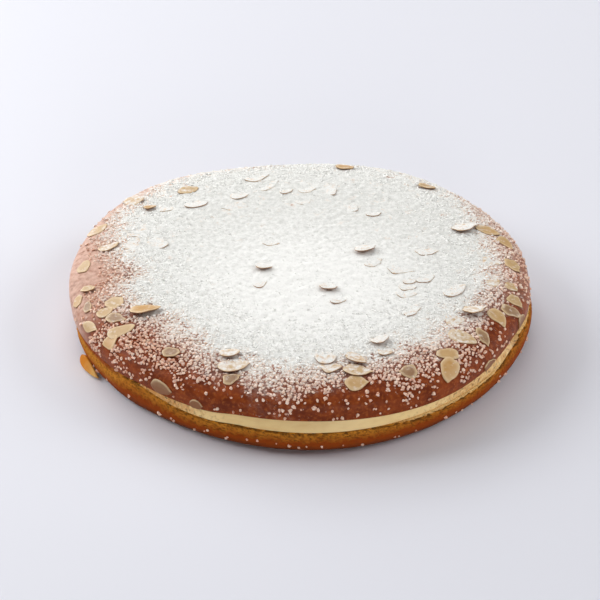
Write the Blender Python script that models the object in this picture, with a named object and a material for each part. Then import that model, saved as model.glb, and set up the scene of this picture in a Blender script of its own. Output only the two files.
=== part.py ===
"""Tarte tropezienne: a large round brioche, split and filled with pastry cream.

Three pieces lie on each other: the lower half of the brioche, the layer of pastry cream that
shows along its cut edge, and the domed upper half, with the sliced almonds and the sugar nibs
that are baked on it. Metres, +Z up, the middle of the flat underside at the origin. Azimuths
are in degrees from +X towards +Y, so the side at -90 degrees is the front.
"""

import math
import random

import bmesh
import bpy
from mathutils import Vector
from mathutils.bvhtree import BVHTree

MM = 0.001

# Driving sizes
CAKE_RADIUS = 131 * MM
CAKE_HEIGHT = 41.5 * MM
BASE_HEIGHT = 17.3 * MM
CREAM_HEIGHT = 5.3 * MM
GAP = 0.3 * MM
SEGMENTS = 60

# Closer than this, two heights count as the same, and two points are merged
LEVEL = 0.01 * MM
MERGE = 0.001 * MM

# The lower half: how far its browned foot rounds in, the wall above it as (share of that inset,
# share of the height), and the lip that rises up to the crust where the halves close
FOOT_INSET = 5.7 * MM
WALL = ((0.60, 0.06), (0.35, 0.18), (0.10, 0.40), (0, 0.70))
LIP_WIDTH = 7 * MM
LIP_LAG = 2
CUT_RING = 0.5 * CAKE_RADIUS

# The upper half: its crust is widest a little above its lower edge, and domed above that
CRUST_INSET = 1 * MM
WAIST_HEIGHT = 5 * MM
EDGE_INSET = 0.5 * MM
EDGE_TURN = (0.3, 0.4)
DOME_POWER = 3
DOME_STEPS = 10

# The cream stands just inside the two cut edges, and further in where they close on each other
CREAM_INSET = 0.5 * MM
CREAM_RECESS = 9 * MM
CREAM_RECESS_LEAD = 1.8
CREAM_BULGE = 0.35 * MM
CREAM_FACE = (0.35, 0.70)

# Unevenness, as waves round the rim: (waves in a turn, height of the wave in mm, azimuth of a crest
# times the number of waves)
BASE_OUTLINE = ((2, 1.9, -57), (3, 1.4, 104), (4, 0.4, 231), (5, 2.0, -42), (6, 0.8, 66))
CRUST_OUTLINE = ((2, 1.6, -52), (3, 1.7, 135), (4, 0.8, 170), (5, 0.9, -36), (6, 1.0, 40))
BASE_RISE = ((1, 1.7, 117), (2, 1.3, 13))
CREAM_RISE = ((1, 0.6, 62), (2, 0.8, 208))

# The crust swells out where it comes down onto the lower half: (azimuth, half of its reach) in
# degrees, and its height
CRUST_SWELL = (348, 13, 1.8 * MM)

# Where the lower half has risen round the cream up to the crust: (azimuth of the middle, half of
# its reach at full height, length of each end over which it falls away), in degrees
CLOSED_STRETCHES = ((198, 26, 24), (355, 14, 26), (95, 6, 28))

# Sliced almonds. The ones that show best each have their place and size, as the real ones lie:
# (azimuth in degrees, share of the way out to the rim or, past 1, on down the wall, turn of the
# pointed end from +X in degrees, length mm, width mm, height of the raised front edge mm)
ALMONDS = (
    # Left side
    (171, 0.85, 30, 12.5, 8.5, 1.2), (180, 0.935, 74, 13, 7, 0), (191, 0.92, -5, 8.5, 6, 1.2),
    (193.5, 0.975, 63, 9, 6, 0), (198, 0.95, 81, 9, 5, 0), (201, 0.85, 175, 11, 10.5, 0),
    (203.5, 0.905, 28, 9.5, 8, 0), (208, 0.885, -25, 12, 7.5, 0), (205, 0.985, -36, 12.5, 6.5, 0),
    (213.5, 0.91, 18, 16.5, 8.5, 0), (214, 0.975, 177, 9.5, 9, 0), (210.5, 0.765, 3, 17, 10.5, 3),
    (232, 0.88, -12, 10.5, 7.5, 0.8), (234.5, 1.0, -30, 14, 8.5, 0), (244.5, 1.02, -40, 8, 6, 0),
    # Front
    (251, 0.845, 5, 17.5, 10, 1.6), (248, 0.78, 6, 11, 8, 1.8), (252, 0.915, 16, 9.5, 7, 0),
    (278, 0.75, 8, 12, 11.5, 1.2), (279, 0.815, 13, 11.5, 8, 1.2), (287, 0.78, -35, 12.5, 8, 2),
    (286, 0.845, -12, 15.5, 9, 1.2), (284.5, 0.91, 7, 13, 9.5, 0), (298.5, 0.905, 194, 10, 9.5, 0),
    (298, 0.695, 42, 11, 7.5, 2.2), (296.5, 0.77, 9, 8, 6.5, 1.4), (311.5, 0.90, 197, 13.5, 8, 0),
    (308.5, 0.965, -86, 17, 10.5, 0),
    # Right side
    (320, 0.88, -23, 16.5, 10.5, 0), (325, 0.795, 12, 11.5, 9.5, 0), (324.5, 0.94, -65, 12.5, 7, 0),
    (322, 1.02, 56, 11, 5.5, 0), (334.5, 0.935, -59, 15, 9, 0), (332.5, 0.835, 21, 13.5, 9.5, 3),
    (340.5, 0.705, 48, 17, 9.5, 1), (339.5, 0.965, -7, 13, 8, 0), (341, 1.0, 20, 9, 8, 0),
    (344, 0.955, -38, 10, 8, 0), (349.5, 0.84, 37, 9.5, 6.5, 0), (349.5, 0.92, -48, 9, 6.5, 0),
    (0.5, 0.93, -62, 13, 8, 0), (1.5, 0.84, -21, 11.5, 8, 0), (12.5, 0.935, -60, 14, 7.5, 0),
    (19, 0.895, -25, 14, 9.5, 0), (21.5, 0.795, 39, 17, 10, 2.4), (49.5, 0.90, -24, 11, 8, 1),
    # Middle and far side
    (319.5, 0.615, 52, 13.5, 7.5, 1), (349, 0.44, -16, 14, 9.5, 1), (344.5, 0.56, 30, 12, 8, 1),
    (339.5, 0.505, 10, 8, 6.5, 1), (7.5, 0.56, 13, 13.5, 9, 1), (334, 0.515, 6, 10, 7, 0.8),
    (328.5, 0.535, 8, 11.5, 8, 0.8), (14.5, 0.295, 20, 12.5, 9, 2.2), (355, 0.32, 40, 11.5, 8, 0.8),
    (206, 0.175, -15, 9.5, 7.5, 1.8), (230.5, 0.275, 40, 8.5, 6.5, 1.4), (134.5, 0.18, -8, 9, 7, 1.4),
    (297, 0.265, -6, 10, 8, 1.8), (295.5, 0.365, 8, 9, 7, 1.6), (145.5, 0.81, 2, 8, 6, 1.6),
    (143, 0.745, -9, 11.5, 8, 0.8), (129, 0.80, 13, 13, 9, 0), (116, 0.635, 15, 12, 9, 1.4),
    (105, 0.805, 27, 15, 10, 0.8), (102, 0.71, 54, 16, 8, 0.8), (87, 0.645, 19, 11, 8, 1),
    (88, 0.525, 31, 10, 7.5, 0.8), (96, 0.635, 25, 8.5, 6.5, 1.4), (76.5, 0.91, -14, 12, 9, 0.8),
)
ALMOND_THICKNESS = 1 * MM
ALMOND_SINK = 0.8 * MM
ALMOND_SIDES = 8
ALMOND_TAPER = 0.3
# The rest are strewn over what the placed ones leave bare of the far side
STREWN_ALMONDS = 18
STREWN_AZIMUTHS = (20, 172)
STREWN_SHARES = (0.45, 0.985)
STREWN_LENGTH = (8.5, 15.5)
STREWN_WIDTH = (0.58, 0.75)
STREWN_RAISED = (0, 0, 1.5)
ALMOND_SPACING = 13 * MM

# One long toasted slice has slid off and leans on the foot at the left
FALLEN_AZIMUTHS = (197, 207)
FALLEN_HEIGHTS = (4.2 * MM, 1.6 * MM)
FALLEN_INSET = 1.7 * MM
FALLEN_REACH = 1.6 * MM
FALLEN_ENDS = 0.55
FALLEN_STEPS = 5

# Sugar nibs: the largest of them, thickest between the white middle and the bare rim
CRUST_NIBS = 112
NIB_SIZE = (1.9, 2.9)
NIB_ROUGHNESS = (0.85, 1.12)
NIB_RISE = 1 / 6
NIB_BELT = (0.50, 0.97, 0.80)
NIB_CLEAR_OF_ALMONDS = 1.12
NIB_SPACING = 6 * MM
FOOT_NIBS = 18
FOOT_NIB_PLACES = (0.15, 0.85)
FOOT_NIB_HEIGHTS = (2.6 * MM, 6.5 * MM)
SEED = 23

SHARP_EDGE = math.radians(40)

COLOURS = {
    "brioche_base": ((0.30, 0.14, 0.035), 0.85),
    "cream": ((0.84, 0.66, 0.33), 0.55),
    "brioche_top": ((0.21, 0.065, 0.024), 0.45),
}


def waves(azimuth, terms):
    """Sum of the waves round the rim at an azimuth in radians, in metres."""
    return sum(size * math.cos(count * azimuth - math.radians(crest)) for count, size, crest in terms) * MM


def smooth(share):
    """Ease from 0 to 1."""
    share = min(max(share, 0), 1)
    return share * share * (3 - 2 * share)


def degrees_apart(azimuth, other):
    """Degrees between an azimuth in radians and another in degrees."""
    return abs((math.degrees(azimuth) - other + 180) % 360 - 180)


def closed(azimuth):
    """1 where the lower half has closed round the cream, 0 where the cream shows."""
    most = 0
    for middle, reach, fall in CLOSED_STRETCHES:
        most = max(most, 1 - smooth((degrees_apart(azimuth, middle) - reach) / fall))
    return most


def base_rim(azimuth):
    """Radius of the lower half at its cut edge."""
    return CAKE_RADIUS + waves(azimuth, BASE_OUTLINE)


def crust_rim(azimuth):
    """Radius of the upper half where it is widest."""
    middle, reach, height = CRUST_SWELL
    swell = height * (1 - smooth(degrees_apart(azimuth, middle) / reach))
    return CAKE_RADIUS - CRUST_INSET + waves(azimuth, CRUST_OUTLINE) + swell


def cut_height(azimuth):
    """Height of the lower half's cut face at the rim, without its risen lip."""
    return BASE_HEIGHT + waves(azimuth, BASE_RISE)


def crust_edge_height(azimuth):
    """Height of the crust's lower edge."""
    return cut_height(azimuth) + CREAM_HEIGHT + waves(azimuth, CREAM_RISE)


def base_top(azimuth, radius):
    """Height of the lower half's upper face: level in the middle, uneven at the rim."""
    rim = base_rim(azimuth)
    share = radius / rim
    face = BASE_HEIGHT + (cut_height(azimuth) - BASE_HEIGHT) * share ** 2
    lip = closed(azimuth) ** LIP_LAG * (crust_edge_height(azimuth) - GAP - cut_height(azimuth))
    return face + lip * max(0, 1 - (rim - radius) / LIP_WIDTH)


def crust_under(azimuth, radius):
    """Height of the upper half's cut face."""
    middle = BASE_HEIGHT + CREAM_HEIGHT
    return middle + (crust_edge_height(azimuth) - middle) * (radius / crust_rim(azimuth)) ** 2


def at_azimuth(azimuth, radius, height):
    """Point at an azimuth in radians, a radius and a height."""
    return Vector((radius * math.cos(azimuth), radius * math.sin(azimuth), height))


def outline_middle():
    """Middle of the box round both halves' outlines."""
    steps = [math.tau * step / SEGMENTS for step in range(SEGMENTS)]
    outline = [at_azimuth(a, max(base_rim(a), crust_rim(a)), 0) for a in steps]
    middle_x = (max(p.x for p in outline) + min(p.x for p in outline)) / 2
    middle_y = (max(p.y for p in outline) + min(p.y for p in outline)) / 2
    return Vector((middle_x, middle_y, 0))


def turned(profile, reshape):
    """Mesh of a profile turned round Z, from the middle of its underside out, up and back in.

    profile holds (radius, height) pairs, and reshape(azimuth, radius, height) gives the radius and
    height that a point of the round shape has on the uneven one.
    """
    mesh = bmesh.new()
    chain = [mesh.verts.new((radius, 0, height)) for radius, height in profile]
    edges = [mesh.edges.new(pair) for pair in zip(chain, chain[1:])]
    bmesh.ops.spin(mesh, geom=chain + edges, cent=(0, 0, 0), axis=(0, 0, 1),
                   angle=math.tau, steps=SEGMENTS, use_merge=True)
    bmesh.ops.remove_doubles(mesh, verts=mesh.verts, dist=MERGE)
    for vert in mesh.verts:
        azimuth = math.atan2(vert.co.y, vert.co.x)
        radius, height = reshape(azimuth, math.hypot(vert.co.x, vert.co.y), vert.co.z)
        vert.co = at_azimuth(azimuth, radius, height)
    bmesh.ops.triangulate(mesh, faces=mesh.faces)
    bmesh.ops.recalc_face_normals(mesh, faces=mesh.faces)
    return mesh


def base_mesh():
    """The lower half: flat underside, rounded foot, upright wall and cut face."""
    profile = [
        (0, 0),
        (CAKE_RADIUS - FOOT_INSET, 0),
        *((CAKE_RADIUS - inset * FOOT_INSET, up * BASE_HEIGHT) for inset, up in WALL),
        (CAKE_RADIUS, BASE_HEIGHT),
        (CAKE_RADIUS - LIP_WIDTH, BASE_HEIGHT),
        (CUT_RING, BASE_HEIGHT),
        (0, BASE_HEIGHT),
    ]

    def reshape(azimuth, radius, height):
        rim = base_rim(azimuth)
        if height < BASE_HEIGHT - LEVEL:
            return radius * rim / CAKE_RADIUS, height / BASE_HEIGHT * base_top(azimuth, rim)
        if radius > CUT_RING + LEVEL:
            radius += rim - CAKE_RADIUS
        return radius, base_top(azimuth, radius)

    return turned(profile, reshape)


def cream_mesh():
    """The pastry cream: a disc that fills the space between the halves, out to their edges."""
    top = BASE_HEIGHT + CREAM_HEIGHT
    profile = [
        (0, BASE_HEIGHT),
        (CUT_RING, BASE_HEIGHT),
        (CAKE_RADIUS - LIP_WIDTH, BASE_HEIGHT),
        (CAKE_RADIUS, BASE_HEIGHT),
        *((CAKE_RADIUS, BASE_HEIGHT + up * CREAM_HEIGHT) for up in CREAM_FACE),
        (CAKE_RADIUS, top),
        (CAKE_RADIUS - LIP_WIDTH, top),
        (CUT_RING, top),
        (0, top),
    ]

    def reshape(azimuth, radius, height):
        recess = CREAM_INSET + min(CREAM_RECESS_LEAD * closed(azimuth), 1) * CREAM_RECESS
        low_rim = base_rim(azimuth) - recess
        high_rim = crust_rim(azimuth) - EDGE_INSET - recess
        up = (height - BASE_HEIGHT) / CREAM_HEIGHT
        rim = low_rim + (high_rim - low_rim) * up
        share = radius / CAKE_RADIUS
        place = share * rim
        low = base_top(azimuth, share * low_rim) + GAP
        high = crust_under(azimuth, share * high_rim) - GAP
        if LEVEL < height - BASE_HEIGHT < CREAM_HEIGHT - LEVEL:
            place += CREAM_BULGE * (1 - closed(azimuth))
        return place, low + (high - low) * up

    return turned(profile, reshape)


def crust_mesh():
    """The upper half without its toppings: cut face, lower edge and domed crust."""
    under = BASE_HEIGHT + CREAM_HEIGHT
    widest = under + WAIST_HEIGHT
    rim = CAKE_RADIUS - CRUST_INSET
    profile = [
        (0, under),
        (CUT_RING, under),
        (rim - LIP_WIDTH, under),
        (rim - EDGE_INSET, under),
        (rim - EDGE_TURN[0] * EDGE_INSET, under + EDGE_TURN[1] * WAIST_HEIGHT),
    ]
    for step in range(DOME_STEPS + 1):
        turn = math.pi / 2 * step / DOME_STEPS
        out = math.cos(turn) ** (2 / DOME_POWER) if step < DOME_STEPS else 0
        up = math.sin(turn) ** (2 / DOME_POWER)
        profile.append((rim * out, widest + (CAKE_HEIGHT - widest) * up))

    def reshape(azimuth, radius, height):
        radius *= crust_rim(azimuth) / rim
        edge = crust_edge_height(azimuth)
        if height < under + LEVEL:
            return radius, crust_under(azimuth, radius)
        if height < widest + LEVEL:
            return radius, edge + height - under
        low = edge + WAIST_HEIGHT
        return radius, low + (CAKE_HEIGHT - low) * (height - widest) / (CAKE_HEIGHT - widest)

    return turned(profile, reshape)


class Surface:
    """The outside of a half, to lay toppings on."""

    def __init__(self, mesh):
        self.tree = BVHTree.FromBMesh(mesh)

    def nearest(self, point):
        """Point of the surface nearest to a place, and the surface's normal there."""
        place, normal, _, _ = self.tree.find_nearest(point)
        return place, normal

    def crust_place(self, azimuth, share):
        """Point of the dome at a share of the way out to the rim, or past 1 down the wall."""
        widest = crust_edge_height(azimuth) + WAIST_HEIGHT
        radius = min(share, 1) * crust_rim(azimuth)
        if share < 1:
            height = widest + (CAKE_HEIGHT - widest) * (1 - share ** DOME_POWER) ** (1 / DOME_POWER)
        else:
            height = widest - (share - 1) * CAKE_RADIUS
        return self.nearest(at_azimuth(azimuth, radius, height))


def almond_outline(length, width):
    """Outline of an almond slice: blunt at one end and pointed at the other."""
    points = []
    for side in range(ALMOND_SIDES):
        turn = math.tau * side / ALMOND_SIDES
        along = length / 2 * math.cos(turn)
        across = width / 2 * math.sin(turn) * (1 - ALMOND_TAPER * math.cos(turn))
        points.append((along, across))
    return points


def add_almond(collection, surface, azimuth, share, turn, length, width, raised):
    """One almond slice, bent to the crust and sunk a little into it, with one edge raised."""
    middle, normal = surface.crust_place(azimuth, share)
    heading = Vector((math.cos(turn), math.sin(turn), 0))
    along = (heading - normal * heading.dot(normal)).normalized()
    across = normal.cross(along)
    mesh = bmesh.new()
    sheets = []
    for height in (ALMOND_THICKNESS, -ALMOND_SINK):
        sheet = []
        for x, y in almond_outline(length, width):
            place, outwards = surface.nearest(middle + along * x + across * y)
            lift = raised * (1 / 2 - y / width)
            sheet.append(mesh.verts.new(place + outwards * (height + lift)))
        sheets.append(sheet)
        mesh.faces.new(sheet)
    top, bottom = sheets
    for side in range(ALMOND_SIDES):
        mesh.faces.new((bottom[side - 1], bottom[side], top[side], top[side - 1]))
    bmesh.ops.triangulate(mesh, faces=mesh.faces)
    bmesh.ops.recalc_face_normals(mesh, faces=mesh.faces)
    add_to(collection, "almond", mesh)


def add_nib(collection, place, normal, size, rng):
    """One rough grain of pearl sugar, a third of it sunk in the crust."""
    mesh = bmesh.new()
    bmesh.ops.create_icosphere(mesh, subdivisions=1, radius=size / 2)
    turn = Vector((rng.uniform(-1, 1), rng.uniform(-1, 1), rng.uniform(-1, 1)))
    spin = normal.rotation_difference(turn.normalized())
    for vert in mesh.verts:
        vert.co *= rng.uniform(*NIB_ROUGHNESS)
        vert.co = spin @ vert.co + place + normal * size * NIB_RISE
    add_to(collection, "nib", mesh)


def add_to(collection, name, mesh):
    """Turn a finished bmesh into an object of a collection."""
    data = bpy.data.meshes.new(name)
    mesh.to_mesh(data)
    mesh.free()
    collection.objects.link(bpy.data.objects.new(name, data))


def almond_places(rng):
    """Every almond slice on the crust: the placed ones, then the strewn ones."""
    slices = []
    for azimuth, share, turn, length, width, raised in ALMONDS:
        slices.append((math.radians(azimuth), share, math.radians(turn), length * MM, width * MM,
                       raised * MM))
    spots = [flat_place(azimuth, share) for azimuth, share, *_ in slices]
    while len(slices) < len(ALMONDS) + STREWN_ALMONDS:
        azimuth = math.radians(rng.uniform(*STREWN_AZIMUTHS))
        share = rng.uniform(*STREWN_SHARES)
        spot = flat_place(azimuth, share)
        if min((spot - other).length for other in spots) < ALMOND_SPACING:
            continue
        length = rng.uniform(*STREWN_LENGTH) * MM
        slices.append((azimuth, share, rng.uniform(0, math.tau), length,
                       length * rng.uniform(*STREWN_WIDTH), rng.choice(STREWN_RAISED) * MM))
        spots.append(spot)
    return slices


def flat_place(azimuth, share):
    """A place on the crust seen from above."""
    return at_azimuth(azimuth, share * crust_rim(azimuth), 0)


def nib_places(slices, rng):
    """Where the largest sugar nibs lie, clear of the almonds and of each other, and their size."""
    almonds = []
    for azimuth, share, _, length, _, _ in slices:
        reach = (length * NIB_CLEAR_OF_ALMONDS + NIB_SIZE[1] * MM) / 2
        almonds.append((flat_place(azimuth, share), reach))
    places = []
    spots = []
    while len(places) < CRUST_NIBS:
        azimuth = rng.uniform(0, math.tau)
        share = rng.triangular(*NIB_BELT)
        spot = flat_place(azimuth, share)
        if any((spot - middle).length < reach for middle, reach in almonds):
            continue
        if any((spot - other).length < NIB_SPACING for other in spots):
            continue
        spots.append(spot)
        places.append((azimuth, share, rng.uniform(*NIB_SIZE) * MM))
    return places


def foot_nib_places(rng):
    """Where grains of sugar lie round the browned foot of the lower half, and their size."""
    places = []
    for count in range(FOOT_NIBS):
        azimuth = math.tau * (count + rng.uniform(*FOOT_NIB_PLACES)) / FOOT_NIBS
        height = rng.uniform(*FOOT_NIB_HEIGHTS)
        places.append((azimuth, height, rng.uniform(*NIB_SIZE) * MM))
    return places


def add_fallen_almond(collection):
    """The slice that leans on the foot: a thin upright blade that follows the base's wall."""
    mesh = bmesh.new()
    rings = []
    for step in range(FALLEN_STEPS):
        share = step / (FALLEN_STEPS - 1)
        azimuth = math.radians(FALLEN_AZIMUTHS[0] + (FALLEN_AZIMUTHS[1] - FALLEN_AZIMUTHS[0]) * share)
        high = FALLEN_HEIGHTS[0] + (FALLEN_HEIGHTS[1] - FALLEN_HEIGHTS[0]) * share
        swell = math.sin(math.pi * share)
        high *= FALLEN_ENDS + (1 - FALLEN_ENDS) * swell
        inner = base_rim(azimuth) - FOOT_INSET
        outer = base_rim(azimuth) - FALLEN_INSET + FALLEN_REACH * swell
        ring = []
        for radius, height in ((inner, GAP), (outer, GAP), (outer, high), (inner, high)):
            ring.append(mesh.verts.new(at_azimuth(azimuth, radius, height)))
        rings.append(ring)
    for ring, after in zip(rings, rings[1:]):
        for side in range(4):
            mesh.faces.new((ring[side], ring[side - 1], after[side - 1], after[side]))
    mesh.faces.new(rings[0])
    mesh.faces.new(rings[-1])
    bmesh.ops.triangulate(mesh, faces=mesh.faces)
    bmesh.ops.recalc_face_normals(mesh, faces=mesh.faces)
    add_to(collection, "fallen_almond", mesh)


def fuse(body, collection):
    """Join all the toppings in a collection to the piece that they lie on."""
    union = body.modifiers.new("toppings", "BOOLEAN")
    union.operation = "UNION"
    union.operand_type = "COLLECTION"
    union.collection = collection
    union.solver = "EXACT"
    with bpy.context.temp_override(object=body, active_object=body):
        bpy.ops.object.modifier_apply(modifier=union.name)
    for topping in list(collection.objects):
        bpy.data.objects.remove(topping, do_unlink=True)
    bpy.data.collections.remove(collection)


def topping_collection(name):
    """Empty collection for the toppings of one piece."""
    collection = bpy.data.collections.new(name)
    bpy.context.scene.collection.children.link(collection)
    return collection


def finish_colour(name):
    """The piece's plain finish."""
    colour, roughness = COLOURS[name]
    material = bpy.data.materials.new(name)
    material.use_nodes = True
    shader = material.node_tree.nodes["Principled BSDF"]
    shader.inputs["Base Color"].default_value = (*colour, 1)
    shader.inputs["Roughness"].default_value = roughness
    shader.inputs["Metallic"].default_value = 0
    return material


def add_piece(name, mesh):
    """Object of one piece, from its finished bmesh."""
    data = bpy.data.meshes.new(name)
    mesh.to_mesh(data)
    piece = bpy.data.objects.new(name, data)
    bpy.context.scene.collection.objects.link(piece)
    data.materials.append(finish_colour(name))
    return piece


def settle(piece, middle):
    """Bring the piece's mesh over the origin and shade it smooth, apart from its sharp edges."""
    for vert in piece.data.vertices:
        vert.co -= middle
    piece.data.shade_smooth()
    piece.data.set_sharp_from_angle(angle=SHARP_EDGE)


def main():
    for old in list(bpy.data.objects):
        bpy.data.objects.remove(old, do_unlink=True)
    grain_rng = random.Random(SEED)

    base = base_mesh()
    base_piece = add_piece("brioche_base", base)
    surface = Surface(base)
    at_foot = topping_collection("at_foot")
    add_fallen_almond(at_foot)
    for azimuth, height, size in foot_nib_places(random.Random(SEED)):
        place, normal = surface.nearest(at_azimuth(azimuth, base_rim(azimuth), height))
        add_nib(at_foot, place, normal, size, grain_rng)
    fuse(base_piece, at_foot)

    cream_piece = add_piece("cream", cream_mesh())

    crust = crust_mesh()
    crust_piece = add_piece("brioche_top", crust)
    surface = Surface(crust)
    on_crust = topping_collection("on_crust")
    slices = almond_places(random.Random(SEED))
    for almond in slices:
        add_almond(on_crust, surface, *almond)
    for azimuth, share, size in nib_places(slices, random.Random(SEED)):
        place, normal = surface.crust_place(azimuth, share)
        add_nib(on_crust, place, normal, size, grain_rng)
    fuse(crust_piece, on_crust)

    middle = outline_middle()
    for piece in (base_piece, cream_piece, crust_piece):
        settle(piece, middle)


main()
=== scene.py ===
"""Tarte tropezienne: its glazed crust, almonds, sugar, cream and crumb, and the pale stage.

Metres, +Z up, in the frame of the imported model, whose three solids these pieces stand for.
Azimuths are in degrees from +X towards +Y, so the side at -90 degrees is the front.
"""

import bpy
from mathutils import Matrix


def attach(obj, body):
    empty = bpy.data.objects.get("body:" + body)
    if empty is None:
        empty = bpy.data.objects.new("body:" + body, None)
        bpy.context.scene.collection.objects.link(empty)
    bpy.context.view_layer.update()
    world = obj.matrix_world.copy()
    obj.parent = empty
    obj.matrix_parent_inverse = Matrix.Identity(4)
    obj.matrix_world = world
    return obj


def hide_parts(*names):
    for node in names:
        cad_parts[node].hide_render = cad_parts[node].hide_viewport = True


bl_info = {
    "name": "Tarte tropezienne",
    "version": (1, 0, 0),
    "blender": (4, 5, 0),
    "location": "3D View > Sidebar > Cake",
    "description": "A round filled brioche with sliced almonds, sugar nibs and icing sugar",
    "category": "Add Mesh",
}

import math
import random

import bpy
import numpy as np
from mathutils import Vector, noise
from mathutils.bvhtree import BVHTree

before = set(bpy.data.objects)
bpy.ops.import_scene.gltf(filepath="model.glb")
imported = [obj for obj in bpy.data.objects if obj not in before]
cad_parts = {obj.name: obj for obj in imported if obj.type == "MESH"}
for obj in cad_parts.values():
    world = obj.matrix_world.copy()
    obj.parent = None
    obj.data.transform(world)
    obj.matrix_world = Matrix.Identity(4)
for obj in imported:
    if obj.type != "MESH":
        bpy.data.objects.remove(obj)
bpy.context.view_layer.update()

MM = 0.001

# Unevenness of the two halves, as waves round the rim: (waves in a turn, height of the wave in mm,
# azimuth of a crest times the number of waves)
BASE_OUTLINE = ((2, 1.9, -57), (3, 1.4, 104), (4, 0.4, 231), (5, 2.0, -42), (6, 0.8, 66))
CRUST_OUTLINE = ((2, 1.6, -52), (3, 1.7, 135), (4, 0.8, 170), (5, 0.9, -36), (6, 1.0, 40))
BASE_RISE = ((1, 1.7, 117), (2, 1.3, 13))
CREAM_RISE = ((1, 0.6, 62), (2, 0.8, 208))
OUTLINE_STEPS = 60

# The crust swells out where it comes down onto the lower half: (azimuth, half of its reach) in
# degrees, and its height
CRUST_SWELL = (348, 13, 1.8 * MM)

# Where the lower half has risen round the cream up to the crust: (azimuth of the middle, half of
# its reach at full height, length of each end over which it falls away), in degrees
CLOSED_STRETCHES = ((198, 26, 24), (355, 14, 26), (95, 6, 28))

# How much lower the seam lies on some stretches, each a stretch as above and a depth
SEAM_DIPS = (((207, 11, 16), 3.8 * MM), ((240, 6, 10), 2.0 * MM))

# Where the lower half is drawn in under the low crust, and how far
NARROW_STRETCHES = ((200, 9, 16),)
NARROWER = 2.2 * MM

# Air between the risen lip and the crust, and the share of the way out at which the flat faces
# have a ring of points
GAP = 0.3 * MM
CUT_RING = 0.5

# The wall of the lower half above its rounded foot, as (share of the foot's inset, share of the
# height); then the width of the lip's slope, that of its level top, and the power by which the
# lip rises later than the cream closes
WALL = ((1, 0), (0.60, 0.06), (0.35, 0.18), (0.10, 0.40), (0, 0.70), (0, 1))
LIP_WIDTH = 7 * MM
LIP_LEVEL = 3 * MM
LIP_LAG = 2

# How far the crust's lower edge and the cream stay back, how far the cream does where the halves
# meet over it and from which share of closing on, and how far its face bulges
EDGE_INSET = 0.5 * MM
CREAM_INSET = 0.5 * MM
CREAM_RECESS = 9 * MM
CREAM_DRAWN_IN = (0.95, 1.0)
CREAM_BULGE = 0.35 * MM

# Share of the way out to the rim at which the icing sugar thins out: a mean, waves as above but
# in shares, stretches that each add a share, and small patches
SUGAR_EDGE = 0.875
SUGAR_EDGE_WAVES = ((1, 0.128, 96), (2, 0.047, -164), (3, 0.027, 83), (4, 0.031, -95))
SUGAR_WIDER = (((15, 28, 20), 0.04), ((162, 24, 14), -0.07), ((205, 9, 10), 0.05),
               ((226, 6, 8), -0.03), ((270, 8, 10), 0.035), ((312, 18, 14), 0.04))
SUGAR_PATCH = 16 * MM
SUGAR_PATCH_REACH = 0.045

# How far inside that edge the icing sugar starts to be thick, and is at its thickest
THICK_SUGAR = (0.10, 0.50)

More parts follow.
